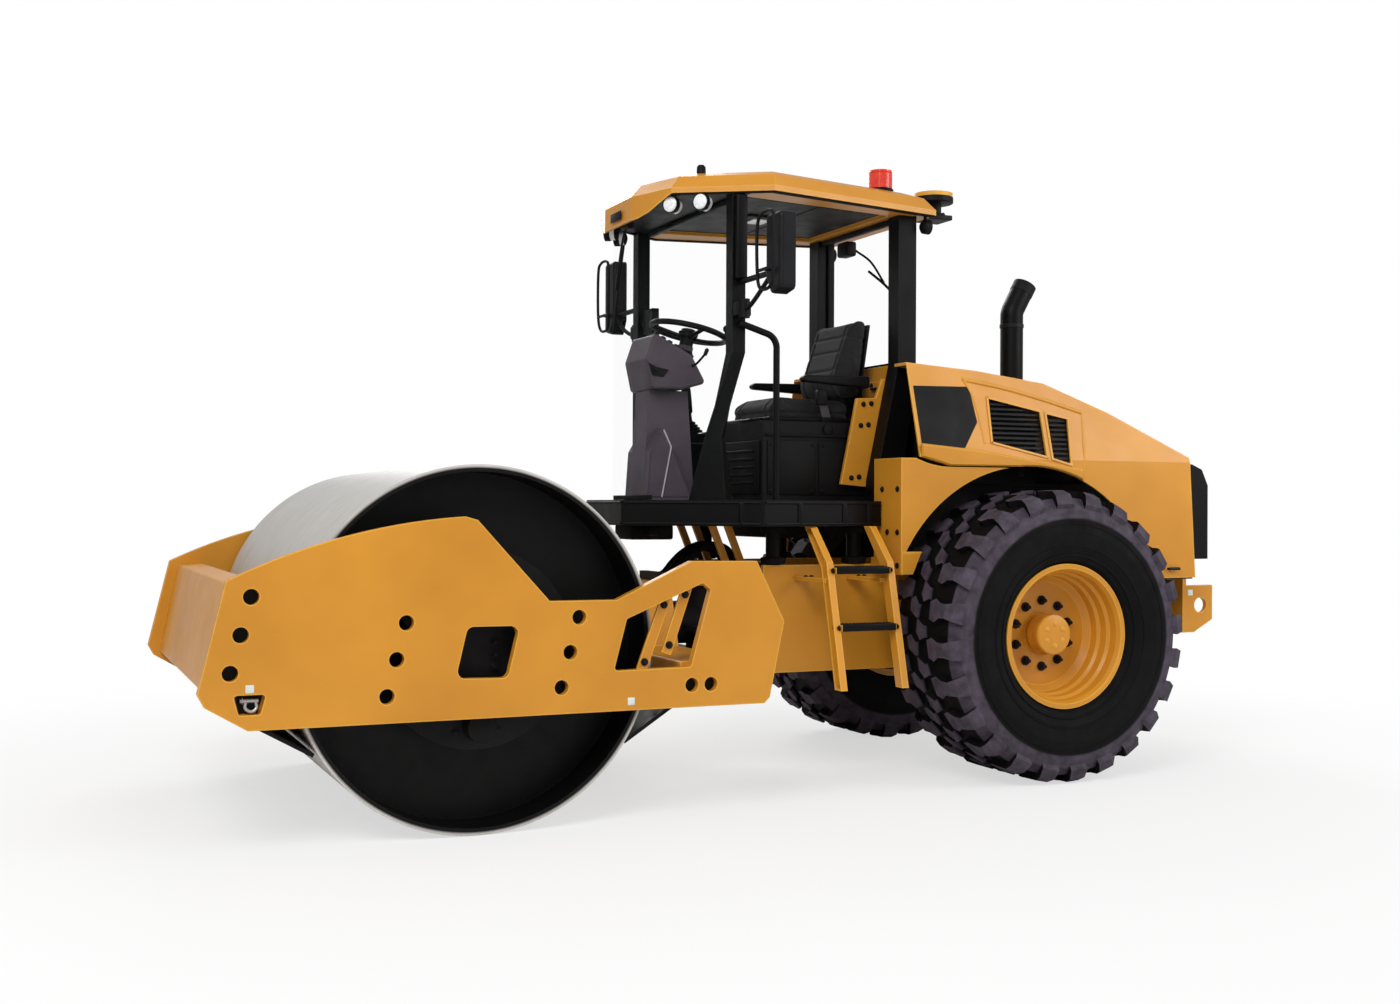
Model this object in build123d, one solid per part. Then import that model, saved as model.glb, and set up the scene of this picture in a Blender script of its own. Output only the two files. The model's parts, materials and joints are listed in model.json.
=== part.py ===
from build123d import *
from math import cos, sin, tan, radians, degrees, hypot, atan2, pi, sqrt
import os

# Single drum road roller, whole machine, in millimetres.
# +X points forward, +Y to the machine's left and +Z up. The origin lies on the ground,
# in the middle of the machine's overall length and width.

# Overall layout
DRUM_RADIUS = 767.5
CROSS_CLEARANCE = 116.5
CROSS_DEPTH = 300
HITCH_REACH = 320
AXLE_TO_HITCH = 1500
WHEELBASE = AXLE_TO_HITCH + HITCH_REACH + CROSS_DEPTH + CROSS_CLEARANCE + DRUM_RADIUS
FRONT_OVERHANG = 1127
REAR_OVERHANG = 1331
REAR_AXLE_X = REAR_OVERHANG - (FRONT_OVERHANG + WHEELBASE + REAR_OVERHANG) / 2
DRUM_X = REAR_AXLE_X + WHEELBASE
TOUCH = 0.3
RUNNING = 0.05

# Drum
DRUM_WIDTH = 2134
DRUM_WALL = 30
DRUM_HEAD_RECESS = 205
DRUM_HEAD_THICKNESS = 28
DRUM_HUB_RADIUS = 150
DRUM_HUB_LENGTH = 70
SPINDLE_RADIUS = 90

# Front frame
DRUM_SIDE_GAP = 43
SIDE_PLATE = 40
FRAME_WIDTH = DRUM_WIDTH + 2 * (DRUM_SIDE_GAP + SIDE_PLATE)
PLATE_HOLE_RADIUS = 31
CARRIER_RADIUS = 420
CARRIER_THICKNESS = 22
CARRIER_GAP = 92
ISOLATOR_COUNT = 6
ISOLATOR_CIRCLE = 320
ISOLATOR_RADIUS = 62
CROSS_BOTTOM = 520
SCRAPER_GAP = 14
SCRAPER_THICKNESS = 16
SCRAPER_WIDTH = 2060

# Hitch between the two frames
HITCH_X = REAR_AXLE_X + AXLE_TO_HITCH
CROSS_BACK_X = HITCH_X + HITCH_REACH
CROSS_FRONT_X = CROSS_BACK_X + CROSS_DEPTH
HITCH_Z = 770
HITCH_TUBE_RADIUS = 95
HITCH_PIN_RADIUS = 45
HITCH_EAR_TOP = 1000
HITCH_EAR_BOTTOM = 540
HITCH_EAR_THICKNESS = 40
HITCH_EAR_RADIUS = 120
EAR_GAP = 6
SWING_SHAFT_RADIUS = 110
SWING_FLANGE_RADIUS = 190

# Steering cylinders
CYLINDER_Z = 690
ROD_PIN_X = HITCH_X + 120
ROD_PIN_Y = 262
BARREL_PIN_X = HITCH_X - 490
BARREL_PIN_Y = 330
BARREL_RADIUS = 48
BARREL_LENGTH = 405
BARREL_FLOOR = 10
ROD_TRAVEL = 157.5
ROD_RADIUS = 25
CYLINDER_EYE_RADIUS = 42
CYLINDER_EYE_HEIGHT = 100
CYLINDER_LUG = 22
CYLINDER_NECK = 45
HOSE_RADIUS = 18
HOSE_GAP = 60
HOSE_COUNT = 4
HOSE_LOW_Z = 1005

# Rear frame
RAIL_OUTER_Y = 450
RAIL_PLATE = 25
RAIL_TOP = 1075
RAIL_BOTTOM = 540
RAIL_FRONT_X = HITCH_X - 115
RAIL_REAR_X = REAR_AXLE_X - 1120
RAIL_STEP_X = REAR_AXLE_X + 330
RAIL_STEP_Z = 870
TAIL_HALF_WIDTH = 620
TAIL_PLATE = 25
TAIL_BOTTOM = 680
TAIL_TOP = 940
TAIL_WALL_TOP = 985
TIE_DOWN_RADIUS = 42

# Wheels
TYRE_RADIUS = 728
LUG_HEIGHT = 32
LUG_COUNT = 24
TYRE_WIDTH = 590
TYRE_OUTER_Y = 1100
RIM_SEAT_RADIUS = 335
RIM_FLANGE_RADIUS = 360
RIM_WALL = 12
RIM_DISC_Y = 840
RIM_DISC_THICKNESS = 18
HUB_RADIUS = 100
HUB_NOSE_Y = 940
AXLE_Z = TYRE_RADIUS
AXLE_TUBE_RADIUS = 100
AXLE_SHAFT_RADIUS = 55
AXLE_BOWL_RADIUS = 215

# Operator's platform and cab
PLATFORM_TOP = 1395
PLATFORM_BOTTOM = 1270
POST_DEPTH = 70
POST_WIDTH = 100
WINDOW_SILL = 2110
SEAT_Z = 1800
CUSHION = 130
CONSOLE_Z = 1950
WHEEL_HUB = 75
CAB_HALF_FRONT = 600
CAB_HALF_REAR = 430
ROOF_EDGE_BOTTOM = 2866
ROOF_BAND = 26
LAMP_RADIUS = 38
ROOF_HALF = [(1990, 180), (1900, 480), (1480, 750), (450, 550)]
VISOR = 17
ROOF_SLOPE = 64
ROOF_RISE = 34
ROOF_CROWN = ROOF_EDGE_BOTTOM + ROOF_BAND + ROOF_SLOPE + ROOF_RISE
GLASS = 8
GLASS_FRONT = 1915
LADDER_FRONT_X = REAR_AXLE_X + 1190
LADDER_REAR_X = REAR_AXLE_X + 890
LADDER_PLATE = 8
LADDER_CHANNEL = 36
STEERING_WHEEL_RADIUS = 210
STEERING_WHEEL_RIM = 15
STEERING_TILT = 13

# Hood and exhaust
HOOD_WALL = 12
HOOD_SEAM_Z = 1575
HOOD_HINGE_X = REAR_AXLE_X + 490
HOOD_HINGE_Z = 2050
HINGE_PIN = 9
GRILLE = 14
SEAM_GAP = 6
HOOD_BEAD = 18
SCREEN = 6
VENT_ROWS = 13
VENT_PITCH = 25
VENT_SLOT = 13
GRILLE_ROWS = 10
GRILLE_PITCH = 37
GRILLE_SLOT = 20
HOOD_HALF_SHOULDER = 600
HOOD_HALF_SEAM = 740
ARCH_RADIUS = 850
EXHAUST_RADIUS = 64
EXHAUST_X = REAR_AXLE_X - 420


def rear(distance):
    """X of a point that far forward of the rear axle."""
    return REAR_AXLE_X + distance


def front(distance):
    """X of a point that far forward of the drum's axis."""
    return DRUM_X + distance


def flat(points, radius=0):
    """Closed flat face through the points, every corner rounded."""
    face = make_face(Polyline(*points, close=True))
    return fillet(face.vertices(), radius) if radius else face


def side_slab(face, low_y, high_y):
    """Extrude a face drawn as (x, z) into a slab standing along Y."""
    return Pos(0, high_y, 0) * (Rot(90, 0, 0) * extrude(face, high_y - low_y))


def cross_slab(face, low_x, high_x):
    """Extrude a face drawn as (y, z) into a slab standing across X."""
    plane = Plane(origin=(low_x, 0, 0), x_dir=(0, 1, 0), z_dir=(1, 0, 0))
    return plane * extrude(face, high_x - low_x)


def level_slab(face, low_z, high_z):
    """Extrude a face drawn as (x, y) into a level slab."""
    return Pos(0, 0, low_z) * extrude(face, high_z - low_z)


def block(low, high):
    """Box between two opposite corners."""
    size = [b - a for a, b in zip(low, high)]
    return Pos(*low) * Box(*size, align=(Align.MIN, Align.MIN, Align.MIN))


def rod(start, end, radius):
    """Round bar from one point to another."""
    start = Vector(start)
    direction = Vector(end) - start
    plane = Plane(origin=start, z_dir=direction)
    return plane * Cylinder(radius, direction.length, align=(Align.CENTER, Align.CENTER, Align.MIN))


def turned(profile, x, z):
    """Turn a closed (y, radius) profile about the cross axis at x, z."""
    face = make_face(Polyline(*profile, close=True))
    return Pos(x, 0, z) * (Rot(0, 0, 90) * revolve(face, Axis.X, 360))


def mirrored(shape):
    """Copy of a shape on the machine's other side."""
    return shape.mirror(Plane.XZ)


def tube_path(points, bend, radius):
    """Bent round tube along straight runs joined by arcs."""
    path = FilletPolyline(*points, radius=bend)
    return sweep(Plane(origin=path @ 0, z_dir=path % 0) * Circle(radius), path=path)


def side_plate_outline():
    """Outline of a front side plate, as (x, z)."""
    nose_top = (front(1024), 1072)
    hump = (front(86), 1319)
    arc = ThreePointArc(nose_top, (front(586), 1236), hump)
    rest = Polyline(
        hump, (front(36), 1305), (front(-274), 967), (front(-573), 966), (front(-920), 1127),
        (front(-1235), 1124), (front(-1373), 855), (front(-1302), 520), (front(-1275), 494),
        (front(940), 494), (front(1100), 590), (front(FRONT_OVERHANG), 640), nose_top)
    return make_face([arc, rest])


def side_plate():
    """Left side plate of the front frame with its holes and openings."""
    inner = FRAME_WIDTH / 2 - SIDE_PLATE
    outer = FRAME_WIDTH / 2
    plate = side_slab(side_plate_outline(), inner, outer)
    holes = []
    for top_x, top_z in ((930, 1009), (328, 893), (-404, 897)):
        for step in range(3):
            holes.append((front(top_x + 38.5 * step), top_z - 146 * step))
    holes += [(front(-923), 590), (front(-1014), 590)]
    for x, z in holes:
        plate -= rod((x, inner - 1, z), (x, outer + 1, z), PLATE_HOLE_RADIUS)
    hatch = flat([(front(76), 870), (front(-145), 868), (front(-94), 655), (front(125), 660)], 32)
    strap_window = flat([(front(-619), 884), (front(-973), 1031), (front(-1012), 1000),
                         (front(-918), 668), (front(-561), 665)], 14)
    hook_slot = flat([(front(873), 632), (front(995), 632), (front(975), 555), (front(893), 555)], 12)
    for opening in (hatch, strap_window, hook_slot):
        plate -= side_slab(opening, inner - 1, outer + 1)
    for foot, head in (((-700, 650), (-825, 990)), ((-818, 725), (-925, 1035))):
        strap = thick_line((front(foot[0]), foot[1]), (front(head[0]), head[1]), 46)
        plate += side_slab(strap, inner - 14, inner)
    return plate


def thick_line(start, end, width):
    """Flat bar outline between two points."""
    length = hypot(end[0] - start[0], end[1] - start[1])
    turn = degrees(atan2(end[1] - start[1], end[0] - start[0]))
    middle = ((start[0] + end[0]) / 2, (start[1] + end[1]) / 2)
    return Pos(*middle) * (Rot(0, 0, turn) * Rectangle(length, width))


def front_crossmember():
    """Box beam that joins the side plates ahead of the drum."""
    half = FRAME_WIDTH / 2 - SIDE_PLATE
    section = flat([(front(868), CROSS_BOTTOM), (front(975), CROSS_BOTTOM), (front(1070), 610),
                    (front(985), 1050), (front(868), 1060)], 10)
    return side_slab(section, -half, half)


def rear_crossmember():
    """Beam behind the drum with the raised housing that carries the hitch's swing shaft."""
    half = FRAME_WIDTH / 2 - SIDE_PLATE
    beam = side_slab(flat([(CROSS_BACK_X, CROSS_BOTTOM), (CROSS_FRONT_X, CROSS_BOTTOM), (CROSS_FRONT_X, 690),
                           (CROSS_BACK_X, 690)], 12), -half, half)
    housing = cross_slab(flat([(-430, 600), (430, 600), (300, 990), (-300, 990)], 20),
                         CROSS_BACK_X, CROSS_BACK_X + 224)
    beam += housing
    beam -= rod((CROSS_BACK_X - 1, 0, HITCH_Z), (CROSS_BACK_X + 184, 0, HITCH_Z), SWING_SHAFT_RADIUS + RUNNING)
    return beam


def scraper(angle, hanger_x):
    """Scraper bar close to the drum, with the flange that bolts it under a crossmember."""
    tip_radius = DRUM_RADIUS + SCRAPER_GAP
    tip = (front(tip_radius * cos(radians(angle))), DRUM_RADIUS + tip_radius * sin(radians(angle)))
    half = SCRAPER_WIDTH / 2
    low = CROSS_BOTTOM - TOUCH - 18
    blade = side_slab(thick_line(tip, (hanger_x, low + 6), SCRAPER_THICKNESS), -half, half)
    flange = block((hanger_x - 30, -half, low), (hanger_x + 30, half, CROSS_BOTTOM - TOUCH))
    return blade + flange


def front_scraper():
    return scraper(-31, front(920))


def rear_scraper():
    return scraper(-147, CROSS_FRONT_X - 31)


def drum_carrier():
    """Left plate that hangs the drum on its rubber buffers, with the fixed spindle."""
    outer = FRAME_WIDTH / 2 - SIDE_PLATE - CARRIER_GAP
    inner = outer - CARRIER_THICKNESS
    head = DRUM_WIDTH / 2 - DRUM_HEAD_RECESS
    profile = [(outer, 0), (outer, CARRIER_RADIUS), (inner, CARRIER_RADIUS), (inner, 190),
               (head + 12, 175), (head + 12, SPINDLE_RADIUS),
               (head - DRUM_HUB_LENGTH + 10, SPINDLE_RADIUS), (head - DRUM_HUB_LENGTH + 10, 0)]
    return turned(profile, DRUM_X, DRUM_RADIUS)


def drum_isolators():
    """Left ring of rubber buffers between the carrier and the side plate."""
    plate = FRAME_WIDTH / 2 - SIDE_PLATE
    buffers = []
    for index in range(ISOLATOR_COUNT):
        angle = 2 * pi * (index + 0.5) / ISOLATOR_COUNT
        x = DRUM_X + ISOLATOR_CIRCLE * cos(angle)
        z = DRUM_RADIUS + ISOLATOR_CIRCLE * sin(angle)
        buffers.append(rod((x, plate - CARRIER_GAP, z), (x, plate, z), ISOLATOR_RADIUS))
    return buffers


def drum():
    """Smooth drum: shell, two recessed heads and their bored hubs."""
    end = DRUM_WIDTH / 2
    head = end - DRUM_HEAD_RECESS
    bore = SPINDLE_RADIUS + RUNNING
    inner = DRUM_RADIUS - DRUM_WALL
    back = head - DRUM_HEAD_THICKNESS
    profile = [(-end, inner), (-end, DRUM_RADIUS), (end, DRUM_RADIUS), (end, inner),
               (head, inner), (head, bore), (head - DRUM_HUB_LENGTH, bore),
               (head - DRUM_HUB_LENGTH, DRUM_HUB_RADIUS), (back, DRUM_HUB_RADIUS), (back, inner),
               (-back, inner), (-back, DRUM_HUB_RADIUS), (DRUM_HUB_LENGTH - head, DRUM_HUB_RADIUS),
               (DRUM_HUB_LENGTH - head, bore), (-head, bore), (-head, inner)]
    return turned(profile, DRUM_X, DRUM_RADIUS)


def hitch_yoke():
    """Hitch body: upright tube, swing shaft and the arms that the steering rods push."""
    low = HITCH_EAR_BOTTOM + HITCH_EAR_THICKNESS + EAR_GAP
    high = HITCH_EAR_TOP - HITCH_EAR_THICKNESS - EAR_GAP
    yoke = rod((HITCH_X, 0, low), (HITCH_X, 0, high), HITCH_TUBE_RADIUS)
    yoke += rod((HITCH_X, 0, HITCH_Z), (CROSS_BACK_X + 164, 0, HITCH_Z), SWING_SHAFT_RADIUS)
    flange_x = CROSS_BACK_X - 6
    yoke += rod((flange_x - 40, 0, HITCH_Z), (flange_x, 0, HITCH_Z), SWING_FLANGE_RADIUS)
    yoke += block((flange_x - 40, -HOSE_GAP * HOSE_COUNT / 2, HOSE_LOW_Z - 65),
                  (flange_x, HOSE_GAP * HOSE_COUNT / 2, HOSE_LOW_Z + 28))
    gap = CYLINDER_EYE_HEIGHT / 2 + EAR_GAP / 2
    for side in (-1, 1):
        arm = level_slab(flat([(HITCH_X + 30, 0), (HITCH_X + 60, side * 300), (HITCH_X + 165, side * 300),
                               (HITCH_X + 175, 0)], 8), CYLINDER_Z + gap, CYLINDER_Z + gap + CYLINDER_LUG)
        yoke += arm
        yoke += Pos(0, 0, -2 * gap - CYLINDER_LUG) * arm
    yoke -= rod((HITCH_X, 0, low - 1), (HITCH_X, 0, high + 1), HITCH_PIN_RADIUS + RUNNING)
    return yoke


def barrel_line(side):
    """Start, direction and full length of a steering cylinder's centre line."""
    start = Vector(BARREL_PIN_X, side * BARREL_PIN_Y, CYLINDER_Z)
    end = Vector(ROD_PIN_X, side * ROD_PIN_Y, CYLINDER_Z)
    return start, (end - start).normalized(), (end - start).length


def eye(centre):
    """Plain pivot boss of a cylinder, its pin included."""
    half = CYLINDER_EYE_HEIGHT / 2
    low = (centre.X, centre.Y, centre.Z - half)
    high = (centre.X, centre.Y, centre.Z + half)
    return rod(low, high, CYLINDER_EYE_RADIUS)


def cylinder_barrel(side):
    start, direction, length = barrel_line(side)
    mouth = start + direction * BARREL_LENGTH
    seat = start + direction * CYLINDER_NECK
    shell = rod(seat, mouth, BARREL_RADIUS) + rod(start, seat, ROD_RADIUS) + eye(start)
    shell -= rod(seat + direction * BARREL_FLOOR, mouth + direction, ROD_RADIUS + RUNNING)
    return shell


def cylinder_rod(side):
    start, direction, length = barrel_line(side)
    tail = start + direction * (CYLINDER_NECK + BARREL_FLOOR + ROD_TRAVEL + 4)
    end = start + direction * length
    return rod(tail, end, ROD_RADIUS) + eye(end)


def frame_rail():
    """Left side plate of the rear frame."""
    outline = flat([(RAIL_FRONT_X, RAIL_TOP), (RAIL_FRONT_X, RAIL_BOTTOM + 30), (RAIL_FRONT_X - 40, RAIL_BOTTOM),
                    (RAIL_STEP_X + 130, RAIL_BOTTOM), (RAIL_STEP_X, RAIL_STEP_Z), (RAIL_REAR_X, RAIL_STEP_Z),
                    (RAIL_REAR_X, RAIL_TOP)])
    return side_slab(outline, RAIL_OUTER_Y - RAIL_PLATE, RAIL_OUTER_Y)


def hitch_ear(low):
    """Level plate of the rear frame that reaches forward round the hitch pin."""
    half = RAIL_OUTER_Y - RAIL_PLATE
    back = BARREL_PIN_X - 130
    tongue = flat([(back, -half), (RAIL_FRONT_X - 60, -half), (HITCH_X, -HITCH_EAR_RADIUS),
                   (HITCH_X, HITCH_EAR_RADIUS), (RAIL_FRONT_X - 60, half), (back, half)])
    ear = level_slab(tongue, low, low + HITCH_EAR_THICKNESS)
    ear += rod((HITCH_X, 0, low), (HITCH_X, 0, low + HITCH_EAR_THICKNESS), HITCH_EAR_RADIUS)
    return ear


def frame_front():
    """Hitch end of the rear frame: two ears, the wall behind them, pin and cylinder lugs."""
    half = RAIL_OUTER_Y - RAIL_PLATE
    back = BARREL_PIN_X - 130
    body = hitch_ear(HITCH_EAR_BOTTOM) + hitch_ear(HITCH_EAR_TOP - HITCH_EAR_THICKNESS)
    body += block((back, -half, HITCH_EAR_BOTTOM), (back + RAIL_PLATE, half, HITCH_EAR_TOP))
    body += rod((HITCH_X, 0, HITCH_EAR_BOTTOM - 20), (HITCH_X, 0, HITCH_EAR_TOP + 20), HITCH_PIN_RADIUS)
    body += block((back + 300, -HOSE_GAP * HOSE_COUNT / 2, HITCH_EAR_TOP - 5),
                  (back + 335, HOSE_GAP * HOSE_COUNT / 2, HITCH_EAR_TOP + 78))
    gap = CYLINDER_EYE_HEIGHT / 2 + TOUCH
    for side in (-1, 1):
        lug = block((back, side * BARREL_PIN_Y - 50, CYLINDER_Z + gap),
                    (BARREL_PIN_X + 28, side * BARREL_PIN_Y + 50, CYLINDER_Z + gap + CYLINDER_LUG))
        body += lug
        body += Pos(0, 0, -2 * gap - CYLINDER_LUG) * lug
    return body


def bends(points, share=0.45):
    """Radius for every corner of a route, as large as its two runs allow."""
    radii = []
    for a, b, c in zip(points, points[1:], points[2:]):
        first = Vector(*b) - Vector(*a)
        second = Vector(*c) - Vector(*b)
        turn = radians(first.get_angle(second))
        radii.append(share * min(first.length, second.length) / tan(turn / 2))
    return radii


def hitch_hoses():
    """Hoses that arch over the hinge from the rear frame to the hitch."""
    start = BARREL_PIN_X + 205 + TOUCH
    hoses = []
    for index in range(HOSE_COUNT):
        y = (index - (HOSE_COUNT - 1) / 2) * HOSE_GAP
        top = 1150 + 12 * (index % 2)
        route = [(start, y, HITCH_EAR_TOP + 45), (start + 85, y, HITCH_EAR_TOP + 45), (start + 210, y, top),
                 (HITCH_X + 60, y, top + 8), (HITCH_X + 185, y, HOSE_LOW_Z),
                 (HITCH_X + HITCH_REACH - 46 - TOUCH, y, HOSE_LOW_Z)]
        path = FilletPolyline(*route, radius=bends(route))
        hoses.append(sweep(Plane(origin=path @ 0, z_dir=path % 0) * Circle(HOSE_RADIUS), path=path))
    return hoses


def frame_tail():
    """Rear end of the rear frame: cross wall and the two plates with tie-down eyes."""
    wall = block((RAIL_REAR_X - TAIL_PLATE, -TAIL_HALF_WIDTH, TAIL_BOTTOM),
                 (RAIL_REAR_X, TAIL_HALF_WIDTH, TAIL_WALL_TOP))
    shape = flat([(RAIL_REAR_X, TAIL_TOP), (RAIL_REAR_X, TAIL_BOTTOM), (rear(-1200), TAIL_BOTTOM),
                  (rear(-REAR_OVERHANG), TAIL_BOTTOM + 70), (rear(-REAR_OVERHANG), TAIL_TOP)])
    for low in (-TAIL_HALF_WIDTH, TAIL_HALF_WIDTH - TAIL_PLATE):
        plate = side_slab(shape, low, low + TAIL_PLATE)
        plate -= rod((rear(-1245), low - 1, 830), (rear(-1245), low + TAIL_PLATE + 1, 830), TIE_DOWN_RADIUS)
        wall += plate
    return wall


def rear_axle():
    """Axle housing with its centre bowl, the seats under the rails and the wheel shafts."""
    end = RIM_DISC_Y - 60
    shaft_end = HUB_NOSE_Y - 30
    half = [(0, AXLE_BOWL_RADIUS), (130, AXLE_BOWL_RADIUS), (240, AXLE_TUBE_RADIUS), (end, AXLE_TUBE_RADIUS),
            (end, AXLE_SHAFT_RADIUS), (shaft_end, AXLE_SHAFT_RADIUS), (shaft_end, 0)]
    other = [(-y, r) for y, r in reversed(half)]
    axle = turned(half + other[:-1], REAR_AXLE_X, AXLE_Z)
    for side in (-1, 1):
        middle = side * (RAIL_OUTER_Y - RAIL_PLATE / 2)
        axle += block((rear(-110), middle - 50, AXLE_Z), (rear(110), middle + 50, RAIL_STEP_Z))
    return axle


def lug_prism(outline, side_profile):
    """Tread block at the top of a tyre: plan outline (x, y) and profile (y, z) cut from each other."""
    plan = level_slab(flat(outline), TYRE_RADIUS - 130, TYRE_RADIUS)
    return plan & cross_slab(flat(side_profile), -90, 90)


def tread_lugs(middle):
    """One pitch of tread: a dog-bone block on each shoulder and two small centre blocks."""
    half = TYRE_WIDTH / 2
    top = TYRE_RADIUS - 3
    base = TYRE_RADIUS - LUG_HEIGHT
    pitch = 360 / LUG_COUNT
    shoulder = [(-50, half - 2), (-34, half - 62), (-37, half - 112), (-56, half - 150), (-40, half - 198),
                (46, half - 186), (60, half - 142), (38, half - 106), (36, half - 62), (52, half - 2)]
    profile = [(half - 210, base - 8), (half - 210, top), (half - 66, top), (half - 26, top - 20),
               (half - 3, top - 68), (half - 20, top - 92), (half - 62, base - 26)]
    centre = [(-46, 6), (-14, 66), (44, 78), (60, 40), (22, 2)]
    centre_profile = [(0, base - 8), (0, top), (86, top), (86, base - 8)]
    lugs = []
    for side in (-1, 1):
        for outline, section, turn in ((shoulder, profile, 0), (centre, centre_profile, 0.5)):
            lug = lug_prism([(side * x, side * y) for x, y in outline], [(side * y, z) for y, z in section])
            lugs.append(Rot(0, pitch * (turn + side / 4), 0) * lug)
    return [Pos(0, middle, 0) * lug for lug in lugs]


def tyre():
    """Left tyre: bulging carcass with its block tread."""
    outer = TYRE_OUTER_Y
    inner = TYRE_OUTER_Y - TYRE_WIDTH
    base = TYRE_RADIUS - LUG_HEIGHT
    bead = RIM_FLANGE_RADIUS
    profile = [(inner + 62, RIM_SEAT_RADIUS), (outer - 62, RIM_SEAT_RADIUS), (outer - 62, bead + 4),
               (outer - 38, bead + 20), (outer - 12, 440), (outer, 520), (outer - 3, 590), (outer - 22, 645),
               (outer - 68, base - 8), (outer - 190, base), (inner + 190, base), (inner + 68, base - 8),
               (inner + 22, 645), (inner + 3, 590), (inner, 520), (inner + 12, 440), (inner + 38, bead + 20),
               (inner + 62, bead + 4)]
    carcass = Pos(0, 0, 0) * turned(profile, 0, 0)
    pitch_lugs = tread_lugs((outer + inner) / 2)
    lugs = [Rot(0, 360 / LUG_COUNT * index, 0) * lug for index in range(LUG_COUNT) for lug in pitch_lugs]
    return Pos(REAR_AXLE_X, 0, AXLE_Z) * carcass.fuse(*lugs)


def rim():
    """Left rim: flanged barrel, dished disc and the hub that takes the axle's shaft."""
    outer = TYRE_OUTER_Y - 62 + TOUCH
    inner = TYRE_OUTER_Y - TYRE_WIDTH + 62 - TOUCH
    seat = RIM_SEAT_RADIUS - TOUCH
    well = seat - RIM_WALL
    disc = RIM_DISC_Y
    back = disc - RIM_DISC_THICKNESS
    bore = AXLE_SHAFT_RADIUS + RUNNING
    hub_back = RIM_DISC_Y - 55
    hub_floor = HUB_NOSE_Y - 25
    steps = []
    for index, radius in enumerate((well, well - 14, well - 28)):
        steps += [(outer - 10 - 58 * index, radius), (outer - 56 - 58 * index, radius - 2)]
    profile = [(inner, seat), (outer, seat), (outer, RIM_FLANGE_RADIUS), (outer + RIM_WALL, RIM_FLANGE_RADIUS),
               (outer + RIM_WALL, seat)] + steps + [(disc, 262), (disc, HUB_RADIUS),
               (HUB_NOSE_Y, HUB_RADIUS), (HUB_NOSE_Y, 0), (hub_floor, 0), (hub_floor, bore), (hub_back, bore),
               (hub_back, HUB_RADIUS), (back, HUB_RADIUS), (back, 250), (back + 40, well),
               (inner - RIM_WALL, well), (inner - RIM_WALL, RIM_FLANGE_RADIUS), (inner, RIM_FLANGE_RADIUS)]
    return turned(profile, REAR_AXLE_X, AXLE_Z)


def engine_block():
    """Engine and cooler as one plain mass between the rails."""
    engine = block((rear(-950), -300, 965), (rear(250), 300, 1500))
    foot_y = RAIL_OUTER_Y - RAIL_PLATE - TOUCH
    for x in (-800, 60):
        engine += block((rear(x), -foot_y, 990), (rear(x + 120), foot_y, 1040))
    return engine


def radiator():
    """Cooler pack behind the engine, standing on the tail wall."""
    core = block((rear(-1090), -400, RAIL_STEP_Z), (rear(-990), 400, 1540))
    return core + block((rear(-1080), -RAIL_OUTER_Y, RAIL_TOP + TOUCH), (rear(-1000), RAIL_OUTER_Y, RAIL_TOP + 55))


def fender():
    """Left fixed panel between the platform and the tyre, with its front wall and arch."""
    arch = Pos(REAR_AXLE_X, AXLE_Z) * Circle(ARCH_RADIUS)
    swing = Pos(HOOD_HINGE_X, HOOD_HINGE_Z) * Circle(HOOD_HINGE_Z - HOOD_SEAM_Z + SEAM_GAP)
    top = HOOD_SEAM_Z + 35
    outline = flat([(rear(770), 1030), (rear(770), top), (HOOD_HINGE_X, top),
                    (HOOD_HINGE_X, HOOD_SEAM_Z - SEAM_GAP), (rear(60), HOOD_SEAM_Z - SEAM_GAP),
                    (rear(60), 1030)]) - arch - swing
    panel = side_slab(outline, HOOD_HALF_SEAM - HOOD_WALL, HOOD_HALF_SEAM)
    inner = CAB_HALF_REAR + POST_WIDTH / 2 + TOUCH
    wall = cross_slab(flat([(RAIL_OUTER_Y, 1030), (HOOD_HALF_SEAM, 1030), (HOOD_HALF_SEAM, top),
                            (inner, top), (inner, 1110), (RAIL_OUTER_Y, 1110)]),
                      rear(770 - HOOD_WALL), rear(770))
    return panel + wall


def platform():
    """Floor of the operator's place on its four short columns."""
    half = [(2060, 250), (1520, 720), (771, 560)]
    outline = [(rear(x), y) for x, y in half] + [(rear(x), -y) for x, y in reversed(half)]
    floor = level_slab(flat(outline, 20), PLATFORM_BOTTOM, PLATFORM_TOP)
    for x in (850, 1310):
        for side in (-1, 1):
            y = side * (RAIL_OUTER_Y - 40)
            floor += rod((rear(x), y, RAIL_TOP), (rear(x), y, PLATFORM_BOTTOM), 38)
    return floor


def ladder():
    """Left ladder of two bent legs and two treads."""
    knee = (750, 1090)
    top = PLATFORM_BOTTOM - TOUCH
    outline = flat([(580, top), (640, top), (knee[0] + 55, knee[1] + 10), (950, 500),
                    (890, 500), (knee[0], knee[1] - 20)])
    body = None
    inside = offset(outline, -LADDER_PLATE)
    for x, out in ((LADDER_REAR_X, -LADDER_CHANNEL), (LADDER_FRONT_X, LADDER_CHANNEL)):
        leg = cross_slab(outline, min(x, x + out), max(x, x + out))
        leg -= cross_slab(inside, *sorted((x + out * LADDER_PLATE / LADDER_CHANNEL, x + 2 * out)))
        leg += block((x - 25, RAIL_OUTER_Y + TOUCH, 1000), (x + 25, 780, 1020))
        body = leg if body is None else body + leg
    for z, y in ((1060, 775), (790, 835)):
        body += block((LADDER_REAR_X, y - 10, z - 15), (LADDER_FRONT_X, y + 60, z + 15))
    return body


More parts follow.
